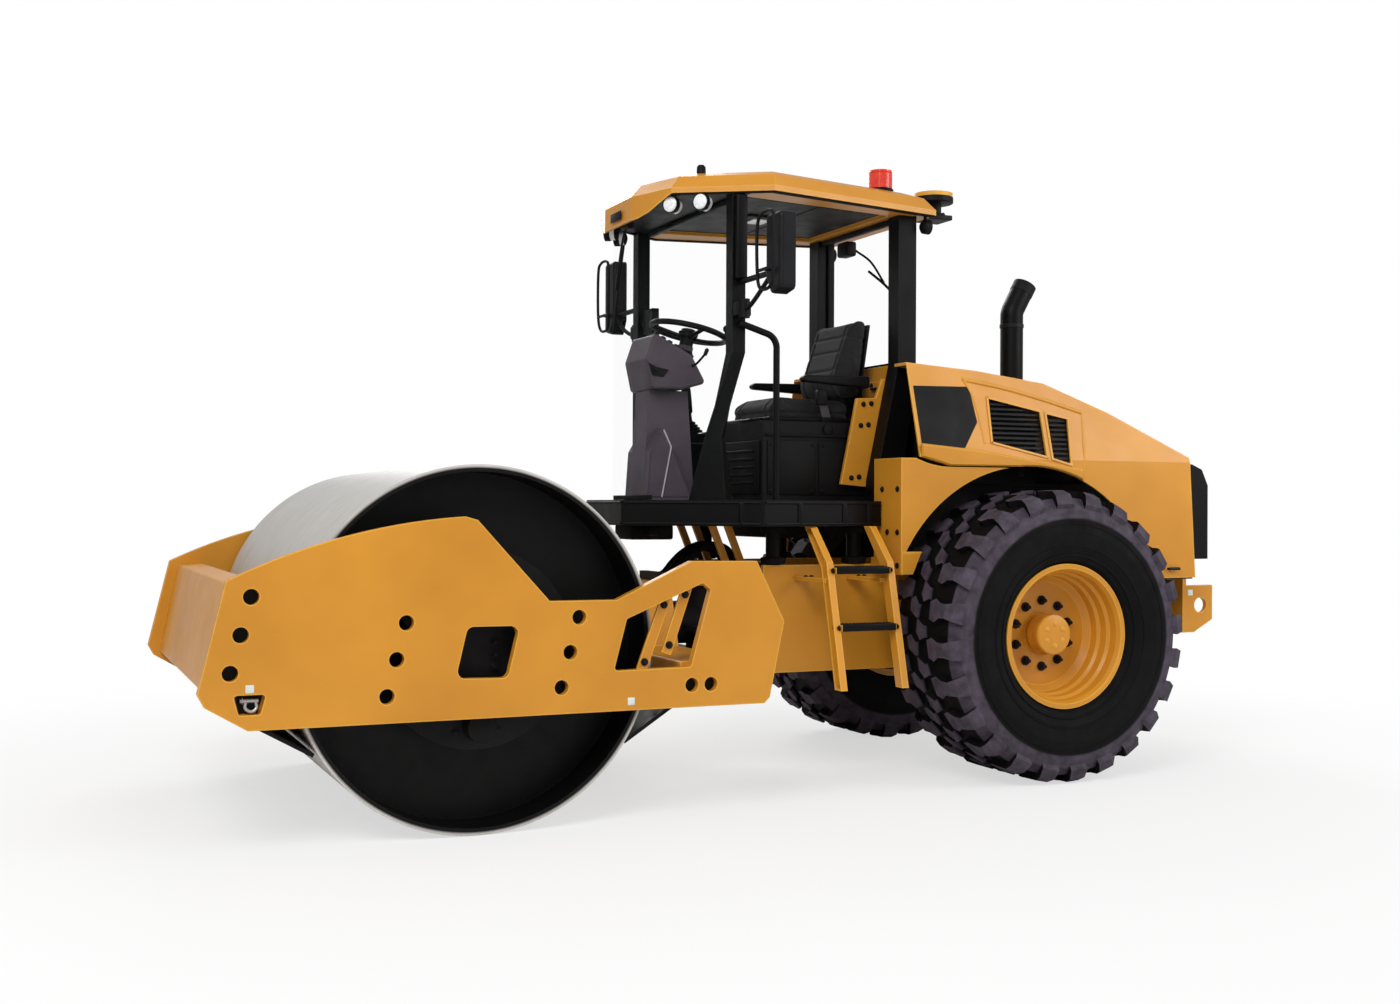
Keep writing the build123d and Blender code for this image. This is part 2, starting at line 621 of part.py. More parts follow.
def bulkhead():
    """Panel behind the seat that closes the engine room and carries the rear window."""
    half = CAB_HALF_REAR - POST_WIDTH / 2 - TOUCH
    wall = block((rear(555), -half, PLATFORM_BOTTOM), (rear(575), half, WINDOW_SILL))
    wall += block((rear(575), -half + 20, PLATFORM_TOP + 30), (rear(592), half - 20, 1740))
    return wall + block((rear(575), -half + 20, 1770), (rear(604), half - 20, 2030))


def a_post(side):
    """Front post: upright above, leaning forward and inward to a flared foot below."""
    y = side * CAB_HALF_FRONT
    upper = block((rear(1580), y - POST_DEPTH / 2, 2100), (rear(1650), y + POST_DEPTH / 2, ROOF_EDGE_BOTTOM))
    if side < 0:
        return block((rear(1580), y - POST_DEPTH / 2, PLATFORM_TOP),
                     (rear(1650), y + POST_DEPTH / 2, ROOF_EDGE_BOTTOM))
    sections = []
    for x, inward, z, width, turn in ((1615, 0, 2100, POST_DEPTH, 0), (1678, 96, 1700, 84, -38),
                                      (1690, 120, PLATFORM_TOP, 200, -52)):
        sections.append(Pos(rear(x), y - inward, z) * (Rot(0, 0, turn) * Rectangle(width, POST_DEPTH)))
    return upper + loft(sections, ruled=True)


def b_post():
    """Left rear post, leaning forward below the hood's front edge."""
    low_y = CAB_HALF_REAR - POST_WIDTH / 2
    outline = flat([(rear(524), ROOF_EDGE_BOTTOM), (rear(524), 2000), (rear(612), 1500), (rear(612), PLATFORM_BOTTOM),
                    (rear(760), PLATFORM_BOTTOM), (rear(760), 1500), (rear(630), 2100),
                    (rear(630), ROOF_EDGE_BOTTOM)])
    post = side_slab(outline, low_y, low_y + POST_WIDTH)
    post += block((HOOD_HINGE_X - 18, low_y + 8, HOOD_HINGE_Z - 18), (rear(526), low_y + 24, HOOD_HINGE_Z + 18))
    post += rod((HOOD_HINGE_X, low_y + 8, HOOD_HINGE_Z), (HOOD_HINGE_X, low_y + 70, HOOD_HINGE_Z), HINGE_PIN)
    return post


def roof_ring(scale, z):
    """Plan outline of the roof at one height, drawn in about its middle."""
    middle = 1180
    half = [(middle + scale * (x - middle), scale * y) for x, y in ROOF_HALF]
    points = [(rear(x), y) for x, y in half] + [(rear(x), -y) for x, y in reversed(half)]
    return Pos(0, 0, z) * flat(points)


def roof():
    """Faceted roof: upright edge, sloping sides, low crown, panelled ceiling and a hanging visor."""
    edge = ROOF_EDGE_BOTTOM + ROOF_BAND
    shoulder = edge + ROOF_SLOPE
    body = level_slab(roof_ring(1, 0), ROOF_EDGE_BOTTOM, edge)
    body += loft([roof_ring(1, edge), roof_ring(0.93, shoulder)], ruled=True)
    body += loft([roof_ring(0.93, shoulder), roof_ring(0.8, ROOF_CROWN)], ruled=True)
    ceiling = flat([(rear(660), 430), (rear(1560), 560), (rear(1560), -560), (rear(660), -430)], 30)
    body -= level_slab(ceiling, ROOF_EDGE_BOTTOM - 1, ROOF_EDGE_BOTTOM + 20)
    visor_half = [ROOF_HALF[1], ROOF_HALF[0]]
    back_half = [(x - VISOR, y - VISOR / 4) for x, y in reversed(visor_half)]
    corner = [(rear(x), y) for x, y in visor_half] + [(rear(x), -y) for x, y in reversed(visor_half)]
    corner += [(rear(x), -y) for x, y in reversed(back_half)] + [(rear(x), y) for x, y in back_half]
    face = flat([(rear(1880), edge), (rear(1900), ROOF_EDGE_BOTTOM), (rear(1950), ROOF_EDGE_BOTTOM - 68),
                 (rear(1974), ROOF_EDGE_BOTTOM - 87), (rear(2000), ROOF_EDGE_BOTTOM - 87), (rear(2000), edge)])
    return body + (level_slab(flat(corner), ROOF_EDGE_BOTTOM - 90, edge) & side_slab(face, -600, 600))


def windshield():
    """Front glass in three flat panes that run outside the front posts."""
    edge = CAB_HALF_FRONT + POST_DEPTH / 2 + GLASS
    path = Polyline((rear(1650), edge, 0), (rear(GLASS_FRONT), 250, 0), (rear(GLASS_FRONT), -250, 0),
                    (rear(1650), -edge, 0))
    return level_slab(trace(path, GLASS), PLATFORM_TOP + TOUCH, ROOF_EDGE_BOTTOM - TOUCH)


def rear_window():
    inner = CAB_HALF_REAR - POST_WIDTH / 2 - TOUCH
    low = (rear(561), -inner, WINDOW_SILL + TOUCH)
    return block(low, (rear(561) + GLASS, inner, ROOF_EDGE_BOTTOM - TOUCH))


def seat_base():
    """Box under the seat."""
    return block((rear(700), -330, PLATFORM_TOP), (rear(1330), 330, SEAT_Z))


def seat_cushion():
    return block((rear(760), -250, SEAT_Z + TOUCH), (rear(1250), 250, SEAT_Z + CUSHION))


def seat_back():
    foot = SEAT_Z + CUSHION + TOUCH
    outline = flat([(rear(690), foot), (rear(830), foot), (rear(730), foot + 440), (rear(640), foot + 440)], 30)
    return side_slab(outline, -240, 240)


def console_base():
    """Upright column that carries the console's head."""
    outline = flat([(rear(1600), PLATFORM_TOP), (rear(1885), PLATFORM_TOP), (rear(1850), CONSOLE_Z),
                    (rear(1640), CONSOLE_Z)])
    column = side_slab(outline, -90, 90)
    foot = flat([(rear(1640), PLATFORM_TOP), (rear(1885), PLATFORM_TOP), (rear(1868), 1640), (rear(1800), 1760)])
    return column + side_slab(foot, -150, 150)


def wheel_frame():
    """Plane of the steering wheel's rim, its normal along the column."""
    tilt = radians(STEERING_TILT)
    centre = Vector(rear(1595), 0, 2262)
    return Plane(origin=centre, x_dir=(cos(tilt), 0, sin(tilt)), z_dir=(-sin(tilt), 0, cos(tilt)))


def console_head():
    """Head of the console with the sleeve of the steering shaft."""
    outline = flat([(rear(1560), CONSOLE_Z + 40), (rear(1700), CONSOLE_Z + TOUCH), (rear(1860), CONSOLE_Z + TOUCH),
                    (rear(1892), 2100), (rear(1845), 2236), (rear(1640), 2130)], 20)
    plane = wheel_frame()
    sleeve = rod(plane.origin - plane.z_dir * (WHEEL_HUB + TOUCH), plane.origin - plane.z_dir * 210, 40)
    head = side_slab(outline, -150, 150)
    head = fillet(head.faces().sort_by(Axis.Y)[-1].edges() + head.faces().sort_by(Axis.Y)[0].edges(), 16)
    return head + sleeve


def steering_wheel():
    """Rim, three spokes and hub, drawn in the wheel's own plane."""
    ring = Torus(STEERING_WHEEL_RADIUS - STEERING_WHEEL_RIM, STEERING_WHEEL_RIM)
    wheel = ring + Pos(0, 0, -WHEEL_HUB) * Cylinder(35, WHEEL_HUB, align=(Align.CENTER, Align.CENTER, Align.MIN))
    reach = STEERING_WHEEL_RADIUS - STEERING_WHEEL_RIM
    for index in range(3):
        turn = radians(90 + 120 * index)
        wheel += rod((20 * cos(turn), 20 * sin(turn), -30), (reach * cos(turn), reach * sin(turn), 0), 11)
    return wheel_frame() * wheel


def control_console():
    """Right-hand box beside the seat with the drive lever."""
    box = block((rear(1150), -440, PLATFORM_TOP), (rear(1500), -335, 1760))
    box += rod((rear(1400), -388, 1750), (rear(1440), -388, 2010), 12)
    return box


def display():
    """Small screen on an arm from the right front post."""
    face = CAB_HALF_FRONT - POST_DEPTH / 2 - TOUCH
    return block((rear(1600), -520, 2300), (rear(1630), -400, 2430)) + rod(
        (rear(1615), -face, 2360), (rear(1615), -510, 2360), 14)


def handrail():
    """Bent tube beside the way in, from the left front post down to the floor."""
    y = CAB_HALF_FRONT + POST_DEPTH / 2 + 16 + TOUCH
    points = [(rear(1620), y, 2240), (rear(1420), y, 2180), (rear(1420), y, PLATFORM_TOP + TOUCH)]
    return tube_path(points, 70, 16)


def mirror(side, x, z, height):
    """Mirror housing on a level arm from a front post."""
    y = side * (CAB_HALF_FRONT + POST_DEPTH / 2 + TOUCH)
    low, high = sorted((side * 960, side * 1110))
    face = flat([(low, z + 20 + (side + 1) * 30), (low, z + height), (high, z + height),
                 (high, z + 20 + (1 - side) * 30), (side * 1010, z)], 24)
    shell = cross_slab(face, rear(x - 40), rear(x + 40))
    shell = fillet(shell.faces().sort_by(Axis.X)[-1].edges(), 20)
    return shell + rod((rear(x), y, z + 110), (rear(x), side * 970, z + 110), 14)


def beacon():
    return Pos(rear(680), 380, ROOF_CROWN + TOUCH) * Cylinder(
        58, 115, align=(Align.CENTER, Align.CENTER, Align.MIN))


def antenna_dome():
    """Receiver disc on a bracket behind the roof's rear edge."""
    low = ROOF_EDGE_BOTTOM + 2
    bracket = block((rear(300), 330, low), (rear(450) - TOUCH, 470, low + 22))
    post = rod((rear(370), 400, low + 20), (rear(370), 400, low + 92), 40)
    disc = rod((rear(370), 400, low + 92), (rear(370), 400, low + 142), 100)
    return bracket + post + disc


def work_lamps():
    """Two round lamps at each front corner, hung under the roof outside the glass."""
    z = ROOF_EDGE_BOTTOM - LAMP_RADIUS - 8
    lamps = []
    for x, y in ((1868, 420), (1765, 545)):
        for side in (-1, 1):
            lamp = rod((rear(x - 22), side * (y - 16), z), (rear(x + 22), side * (y + 16), z), LAMP_RADIUS)
            stem = rod((rear(x), side * y, z), (rear(x), side * y, ROOF_EDGE_BOTTOM - TOUCH), 9)
            lamps.append(lamp + stem)
    return lamps


def hood():
    """Hood shell over the engine, open below, in front and behind, with its hinge lugs."""
    line = [(660, 2098), (242, 2070), (-168, 2019), (-563, 1872), (-1060, 1640)]
    top = [(rear(x), z) for x, z in line]
    arch = Pos(REAR_AXLE_X, AXLE_Z) * Circle(ARCH_RADIUS)
    outline = flat(top + [(rear(-1100), 990), (rear(60), 990), (rear(60), HOOD_SEAM_Z),
                          (HOOD_HINGE_X, HOOD_SEAM_Z), (rear(660), HOOD_SEAM_Z + 42)]) - arch
    outer = side_slab(outline, -HOOD_HALF_SEAM, HOOD_HALF_SEAM)
    bend = HOOD_SEAM_Z + 40
    section = [(HOOD_HALF_SEAM, 900), (HOOD_HALF_SEAM, bend), (HOOD_HALF_SHOULDER, 2110)]
    outer &= cross_slab(flat(section + [(-y, z) for y, z in reversed(section)]), rear(-1200), rear(700))
    inner_line = [(x + 40 if x == line[0][0] else x, z - HOOD_WALL) for x, z in line]
    inner_line[-1] = (-1200, inner_line[-1][1] - 60)
    room_side = flat([(rear(x), z) for x, z in inner_line] + [(rear(-1200), 900), (rear(700), 900)])
    inner_section = [(y - HOOD_WALL, z - 3) for y, z in section]
    inner_section[-1] = (HOOD_HALF_SHOULDER - HOOD_WALL, 2130)
    room = side_slab(room_side, -HOOD_HALF_SEAM, HOOD_HALF_SEAM) & cross_slab(
        flat(inner_section + [(-y, z) for y, z in reversed(inner_section)]), rear(-1210), rear(710))
    shell = outer - room
    notch = CAB_HALF_REAR + POST_WIDTH / 2 + 12
    shell -= block((rear(478), -notch, 1500), (rear(700), notch, 2200))
    shell -= rod((EXHAUST_X, 0, 1700), (EXHAUST_X, 0, 2100), EXHAUST_RADIUS + TOUCH)
    for side in (-1, 1):
        low, high = sorted((side * (CAB_HALF_REAR - 20), side * (CAB_HALF_REAR + 15)))
        lug = block((HOOD_HINGE_X - 70, low, HOOD_HINGE_Z - 18), (HOOD_HINGE_X + 18, high, 2074))
        shell += lug
        shell -= rod((HOOD_HINGE_X, low - 1, HOOD_HINGE_Z), (HOOD_HINGE_X, high + 1, HOOD_HINGE_Z),
                     HINGE_PIN + RUNNING)
    for opening in vent_openings():
        shell -= side_slab(opening, -HOOD_HALF_SEAM - 1, HOOD_HALF_SEAM + 1)
    lip = flat([(rear(655), HOOD_SEAM_Z + 42), (rear(655), HOOD_SEAM_Z + 108), (rear(300), HOOD_SEAM_Z + 80),
                (rear(-335), 1566), (rear(-335), 1400), (rear(60), HOOD_SEAM_Z), (HOOD_HINGE_X, HOOD_SEAM_Z)]) - arch
    bead = side_slab(lip, HOOD_HALF_SEAM - 3, HOOD_HALF_SEAM + HOOD_BEAD)
    bead = chamfer(bead.faces().sort_by(Axis.Y)[-1].edges(), 8)
    return shell + bead + mirrored(bead)


def vent_openings():
    """Outlines of the two vents in a hood side, as (x, z)."""
    wide = flat([(rear(200), 1928), (rear(-115), 1866), (rear(-112), 1630), (rear(215), 1700)], 10)
    narrow = flat([(rear(-150), 1859), (rear(-285), 1833), (rear(-262), 1592), (rear(-148), 1622)], 10)
    return wide, narrow


def hood_vents():
    """Left slatted screen that closes both vents from inside."""
    bend = HOOD_SEAM_Z + 37
    skin = HOOD_HALF_SEAM - HOOD_WALL - TOUCH
    lean = (HOOD_HALF_SEAM - HOOD_HALF_SHOULDER) / (2130 - bend)
    low_z = 1570
    high_z = 1960
    edge = skin - lean * (high_z - bend)
    band = [(skin, low_z), (skin, bend), (edge, high_z), (edge - SCREEN, high_z), (skin - SCREEN, bend),
            (skin - SCREEN, low_z)]
    cover = side_slab(flat([(rear(230), 1955), (rear(-312), 1860), (rear(-290), 1572), (rear(245), 1672)], 14),
                      0, HOOD_HALF_SEAM)
    screen = cross_slab(flat(band), rear(-400), rear(300)) & cover
    for row in range(VENT_ROWS):
        z = 1604 + VENT_PITCH * row
        slot = block((rear(-400), 0, z), (rear(300), HOOD_HALF_SEAM, z + VENT_SLOT))
        for opening in vent_openings():
            screen -= side_slab(opening, 0, HOOD_HALF_SEAM) & slot
    return screen


def rear_grille():
    """Screen that closes the hood's rear end, with a cheek on each side."""
    line = [(rear(-1082), 1600), (rear(-1150), 1572), (rear(-1190), 1490), (rear(-1190), 1090)]
    half = HOOD_HALF_SEAM - HOOD_WALL - TOUCH
    screen = side_slab(trace(Polyline(*line), GRILLE), -half, half)
    cheek_face = flat(line + [(rear(-1090), 1090)])
    for low in (-half, half - GRILLE):
        screen += side_slab(cheek_face, low, low + GRILLE)
    for row in range(GRILLE_ROWS):
        z = 1120 + GRILLE_PITCH * row
        for low, high in ((-half + 60, -25), (25, half - 60)):
            screen -= block((rear(-1230), low, z), (rear(-1180), high, z + GRILLE_SLOT))
    return screen


def exhaust_stack():
    """Upright exhaust pipe whose end leans to the rear."""
    path = FilletPolyline((EXHAUST_X, 0, 1880), (EXHAUST_X, 0, 2480), (EXHAUST_X - 90, 0, 2640), radius=90)
    return sweep(Plane(origin=path @ 0, z_dir=path % 0) * Circle(EXHAUST_RADIUS), path=path)


def pair(shape):
    """A left-hand shape and its copy on the right."""
    return Compound([shape, mirrored(shape)])


def main():
    os.makedirs("parts", exist_ok=True)
    left_plate = side_plate()
    buffers = drum_isolators()
    nodes = {
        "side_plate_left": left_plate,
        "side_plate_right": mirrored(left_plate),
        "front_crossmember": front_crossmember(),
        "rear_crossmember": rear_crossmember(),
        "front_scraper": front_scraper(),
        "rear_scraper": rear_scraper(),
        "drum_carriers": pair(drum_carrier()),
        "drum_isolators": Compound(buffers + [mirrored(item) for item in buffers]),
        "drum": drum(),
        "hitch_yoke": hitch_yoke(),
        "cylinder_barrel_left": cylinder_barrel(1),
        "cylinder_rod_left": cylinder_rod(1),
        "cylinder_barrel_right": cylinder_barrel(-1),
        "cylinder_rod_right": cylinder_rod(-1),
        "frame_rails": pair(frame_rail()),
        "frame_front": frame_front(),
        "frame_tail": frame_tail(),
        "hitch_hoses": Compound(hitch_hoses()),
        "rear_axle": rear_axle(),
        "engine_block": engine_block(),
        "radiator": radiator(),
        "fenders": pair(fender()),
        "platform": platform(),
        "ladder": ladder(),
        "bulkhead": bulkhead(),
        "a_posts": Compound([a_post(1), a_post(-1)]),
        "b_posts": pair(b_post()),
        "roof": roof(),
        "windshield": windshield(),
        "rear_window": rear_window(),
        "seat_base": seat_base(),
        "seat_cushion": seat_cushion(),
        "seat_back": seat_back(),
        "console_base": console_base(),
        "console_head": console_head(),
        "steering_wheel": steering_wheel(),
        "control_console": control_console(),
        "display": display(),
        "handrail": handrail(),
        "mirrors": Compound([mirror(1, 1600, 2330, 370), mirror(-1, 1600, 2350, 420)]),
        "beacon": beacon(),
        "antenna_dome": antenna_dome(),
        "work_lamps": Compound(work_lamps()),
        "hood": hood(),
        "hood_vents": pair(hood_vents()),
        "rear_grille": rear_grille(),
        "exhaust_stack": exhaust_stack(),
        "tyre_left": tyre(),
        "tyre_right": mirrored(tyre()),
        "rim_left": rim(),
        "rim_right": mirrored(rim()),
    }
    for name, shape in nodes.items():
        export_step(shape, f"parts/{name}.step")


main()
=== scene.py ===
import json
import math
import bpy
import bmesh
from mathutils import Matrix, Vector


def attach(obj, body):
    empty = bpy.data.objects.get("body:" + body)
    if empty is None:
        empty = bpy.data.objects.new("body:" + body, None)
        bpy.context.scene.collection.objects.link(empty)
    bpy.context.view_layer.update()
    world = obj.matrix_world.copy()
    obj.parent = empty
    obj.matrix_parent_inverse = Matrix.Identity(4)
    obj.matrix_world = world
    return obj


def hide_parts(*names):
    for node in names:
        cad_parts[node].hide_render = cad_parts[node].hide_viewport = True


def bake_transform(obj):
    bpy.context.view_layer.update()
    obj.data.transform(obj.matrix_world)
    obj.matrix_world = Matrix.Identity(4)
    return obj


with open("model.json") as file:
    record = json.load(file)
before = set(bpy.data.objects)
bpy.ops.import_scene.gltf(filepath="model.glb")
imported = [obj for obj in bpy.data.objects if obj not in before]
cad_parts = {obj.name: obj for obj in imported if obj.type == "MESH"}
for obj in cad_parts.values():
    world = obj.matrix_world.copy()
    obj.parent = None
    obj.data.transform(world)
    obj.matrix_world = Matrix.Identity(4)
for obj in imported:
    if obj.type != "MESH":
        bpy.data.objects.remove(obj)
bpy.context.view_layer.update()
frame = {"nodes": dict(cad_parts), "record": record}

# A single drum road roller in its working finish, in metres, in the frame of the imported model.
# X runs forward, Y to the machine's left and Z up from the ground.
nodes = frame["nodes"]

REAR_AXLE = -1.400
DRUM_AXIS = 1.604
AXLE_Z = 0.728
DRUM_RADIUS = 0.7675
TYRE_MIDDLE = 0.805
SIDES = (1, -1)
WHEELS = ((1, "left"), (-1, "right"))
X_AXIS, Y_AXIS, Z_AXIS = (1, 0, 0), (0, 1, 0), (0, 0, 1)


def rear(x):
    """X of a point that far forward of the rear axle."""
    return REAR_AXLE + x


def front(x):
    """X of a point that far forward of the drum's axis."""
    return DRUM_AXIS + x


def at(x, y, z):
    """Point that far forward of the rear axle, to the left and above the ground."""
    return Vector((rear(x), y, z))


def ahead(x, y, z):
    """Point that far forward of the drum's axis, to the left and above the ground."""
    return Vector((front(x), y, z))


def around(count, radius, shift=0.0):
    """Both coordinates of evenly spaced points on a circle, the first one a share of a step on."""
    for index in range(count):
        a = 2 * math.pi * (index + shift) / count
        yield radius * math.cos(a), radius * math.sin(a)


def linear(*srgb):
    """sRGB 0-255 to the linear colour that the shader takes."""
    out = []
    for c in srgb:
        c /= 255
        out.append(c / 12.92 if c <= 0.04045 else ((c + 0.055) / 1.055) ** 2.4)
    return (*out, 1)


class Nodes:
    """Short hand for building one node tree."""

    def __init__(self, name, owner=None):
        self.mat = owner or bpy.data.materials.new(name)
        self.mat.use_nodes = True
        self.tree = self.mat.node_tree
        if owner:
            self.tree.nodes.clear()
        else:
            self.shader = self.tree.nodes["Principled BSDF"]
            self.coords = self.add("TexCoord").outputs["Object"]

    def join(self, source, socket):
        """Link a socket, or set a constant on it."""
        if isinstance(source, bpy.types.NodeSocket):
            self.tree.links.new(source, socket)
        elif source is not None:
            socket.default_value = source

    def add(self, kind, links=(), **values):
        node = self.tree.nodes.new("ShaderNode" + kind)
        for key, value in values.items():
            setattr(node, key, value)
        for socket, source in links:
            self.join(source, node.inputs[socket])
        return node

    def noise(self, scale, detail=4, rough=0.55, coords=None):
        return self.add("TexNoise", [("Vector", coords or self.coords), ("Scale", scale), ("Detail", detail),
                ("Roughness", rough)]).outputs["Fac"]

    def cells(self, scale):
        return self.add("TexVoronoi", [("Vector", self.coords), ("Scale", scale)]).outputs["Distance"]

    def stretch(self, scale):
        return self.add("Mapping", [("Vector", self.coords), ("Scale", scale)]).outputs["Vector"]

    def remap(self, source, low, high, to_low, to_high):
        return self.add("MapRange", [("Value", source), ("From Min", low), ("From Max", high),
                ("To Min", to_low), ("To Max", to_high)]).outputs["Result"]

    def ramp(self, source, *stops):
        """Colour band whose stops are (place, red, green, blue) in sRGB 0-255."""
        node = self.add("ValToRGB", [("Fac", source)])
        for element, (place, *srgb) in zip(node.color_ramp.elements, stops):
            element.position = place
            element.color = linear(*srgb)
        return node.outputs["Color"]

    def mix(self, factor, first, second):
        return self.add("Mix", [(0, factor), (6, first), (7, second)], data_type="RGBA").outputs[2]

    def math(self, kind, first, second=0.0):
        return self.add("Math", [(0, first), (1, second)], operation=kind).outputs[0]

    def hypotenuse(self, first, second):
        squares = self.math("ADD", self.math("MULTIPLY", first, first), self.math("MULTIPLY", second, second))
        return self.math("SQRT", squares)

    # Mask of the painted edge highlights.
    def edges(self, width):
        """1 along convex and concave edges, 0 on the flat."""
        bevel = self.add("Bevel", [("Radius", width)], samples=4)
        flat = self.add("NewGeometry").outputs["True Normal"]
        dot = self.add("VectorMath", [(0, bevel.outputs[0]), (1, flat)], operation="DOT_PRODUCT")
        return self.remap(dot.outputs["Value"], 0.995, 0.75, 0, 1)

    def bump(self, height, strength, distance, radius=0.0):
        node = self.add("Bump", [("Height", height), ("Strength", strength), ("Distance", distance)])
        if radius:
            bevel = self.add("Bevel", [("Radius", radius)], samples=4)
            self.join(bevel.outputs[0], node.inputs["Normal"])
        return node.outputs[0]

    def finish(self, color, rough, normal=None, **constants):
        for socket, source in (("Base Color", color), ("Roughness", rough), ("Normal", normal)):
            self.join(source, self.shader.inputs[socket])
        for key, value in constants.items():
            self.shader.inputs[key.replace("_", " ")].default_value = value
        return self.mat

    def surface(self, kind, share, first, second):
        """End a world or a floor in a mix of two shaders."""
        mix = self.add("MixShader", [(0, share), (1, first), (2, second)])
        self.add(kind, [("Surface", mix.outputs[0])])


# ---- camera, floor and light ----
WHITE = (1, 1, 1, 1)
FLOOR_GREY = (0.82, 0.82, 0.82, 1)
CAMERA_PLACE = (3.3748, 7.1804, 1.3629)
CAMERA_TURN = (-114.3407, 0.1782, 0.2553)
CAMERA_LENS = 39.15
SENSOR_WIDTH = 36
WORLD_LIGHT = 0.5
WORLD_SEEN = 1.0
FLOOR_NEAR, FLOOR_FAR = 2.2, 6.0
GLOW_NEAR, GLOW_FAR = 0.62, 1.0


def make_camera():
    """Pinhole camera at the photo's place, turned by yaw, pitch and roll in degrees."""
    yaw, pitch, roll = (math.radians(a) for a in CAMERA_TURN)
    ahead = Vector((math.cos(yaw) * math.cos(pitch), math.sin(yaw) * math.cos(pitch), math.sin(pitch)))
    side = ahead.cross(Vector(Z_AXIS)).normalized()
    top = side.cross(ahead)
    right = side * math.cos(roll) + top * math.sin(roll)
    up = top * math.cos(roll) - side * math.sin(roll)
    data = bpy.data.cameras.new("camera")
    data.lens = CAMERA_LENS
    data.sensor_width = SENSOR_WIDTH
    data.clip_end = 200
    camera = bpy.data.objects.new("camera", data)
    bpy.context.scene.collection.objects.link(camera)
    rows = zip(right, up, -ahead, CAMERA_PLACE)
    camera.matrix_world = Matrix((*rows, (0, 0, 0, 1)))
    bpy.context.scene.camera = camera


def make_world():
    """White surroundings that light the part at half their strength."""
    world = bpy.data.worlds.new("studio")
    bpy.context.scene.world = world
    n = Nodes("studio", world)
    lit = n.add("Background", [("Color", WHITE), ("Strength", WORLD_LIGHT)])
    seen = n.add("Background", [("Color", WHITE), ("Strength", WORLD_SEEN)])
    rays = n.add("LightPath").outputs
    direct = n.math("MAXIMUM", rays["Is Camera Ray"], rays["Is Transmission Ray"])
    n.surface("OutputWorld", direct, lit.outputs[0], seen.outputs[0])


def make_lamp(name, place, target, size, power):
    data = bpy.data.lights.new(name, "AREA")
    data.shape = "DISK"
    data.size = size
    data.energy = power
    lamp = bpy.data.objects.new(name, data)
    bpy.context.scene.collection.objects.link(lamp)
    lamp.location = place
    lamp.rotation_euler = (Vector(target) - Vector(place)).to_track_quat("-Z", "Y").to_euler()


def make_floor():
    """Pale floor that fades into the background away from the part."""
    mesh = bpy.data.meshes.new("floor")
    half = 60
    mesh.from_pydata([(-half, -half, 0), (half, -half, 0), (half, half, 0), (-half, half, 0)], [],
            [(0, 1, 2, 3)])
    floor = bpy.data.objects.new("floor", mesh)
    bpy.context.scene.collection.objects.link(floor)
    floor.location.z = -0.001
    mat = bpy.data.materials.new("floor")
    n = Nodes("floor", mat)
    matt = n.add("BsdfDiffuse", [("Color", FLOOR_GREY)])
    glow = n.add("Emission", [("Color", WHITE), ("Strength", 1.0)])
    away = n.add("VectorMath", [(0, n.add("TexCoord").outputs["Object"])], operation="LENGTH")
    fade = n.add("MapRange", [("Value", away.outputs["Value"]), ("From Min", FLOOR_NEAR),
            ("From Max", FLOOR_FAR), ("To Min", GLOW_NEAR), ("To Max", GLOW_FAR)],
            interpolation_type="SMOOTHSTEP")
    share = n.math("MULTIPLY", n.add("LightPath").outputs["Is Camera Ray"], fade.outputs["Result"])
    n.surface("OutputMaterial", share, matt.outputs[0], glow.outputs[0])
    mesh.materials.append(mat)


bpy.context.scene.view_settings.view_transform = "Standard"
make_camera()
make_world()
make_floor()
make_lamp("key_lamp", (5.5, 6.5, 7.5), (0, 0, 1.2), 5.0, 560)
make_lamp("fill_lamp", (-6.5, 5.5, 4.5), (-0.5, 0, 1.0), 5.0, 270)
make_lamp("back_lamp", (-1.0, -8.0, 6.5), (0, 0, 1.2), 5.0, 380)


# ---- materials ----
def painted(name, main, dark, light, rough, edge=0.004, coat=0.1, gloss=0.3):
    """Sprayed paint: faint cloudiness, orange peel, and a painted highlight along the edges."""
    n = Nodes(name)
    cloud = n.ramp(n.noise(1.6, 3), (0.35, *dark), (0.65, *main))
    speck = n.ramp(n.noise(46, 6, 0.7), (0.62, 0, 0, 0), (0.82, 255, 255, 255))
    worn = n.mix(n.math("MULTIPLY", speck, 0.16), cloud, linear(*light))
    # Painted highlight: the light tone laid along the edges, standing in for light caught by their rounding.
    painted_edge_highlight = n.mix(n.math("MULTIPLY", n.edges(edge * 2.6), 0.85), worn, linear(*light))
    matt = n.remap(n.noise(7, 5), 0.3, 0.7, rough - 0.05, rough + 0.09)
    return n.finish(painted_edge_highlight, matt, n.bump(n.noise(420, 2), 0.12, 0.0006, edge), Specular_IOR_Level=gloss,
            Coat_Weight=coat, Coat_Roughness=0.22)


def grained(name, main, light, rough, scale, depth, metallic=0.0, edge=0.003, shine=0.14):
    """Moulded plastic, rubber or matt metal: fine grain, faint handling marks and a faint painted highlight
    along the edges.
    """
    n = Nodes(name)
    tone = n.ramp(n.noise(3.2, 5), (0.3, *main), (0.75, *light))
    # Painted highlight: the light tone laid faintly along the edges.
    painted_edge_highlight = n.mix(n.math("MULTIPLY", n.edges(edge * 1.5), 0.35), tone, linear(*light))
    gloss = n.remap(n.noise(9, 6), 0.3, 0.7, rough - 0.06, rough + 0.08)
    return n.finish(painted_edge_highlight, gloss, n.bump(n.cells(scale), 0.25, depth, edge), Metallic=metallic,
            Specular_IOR_Level=shine)


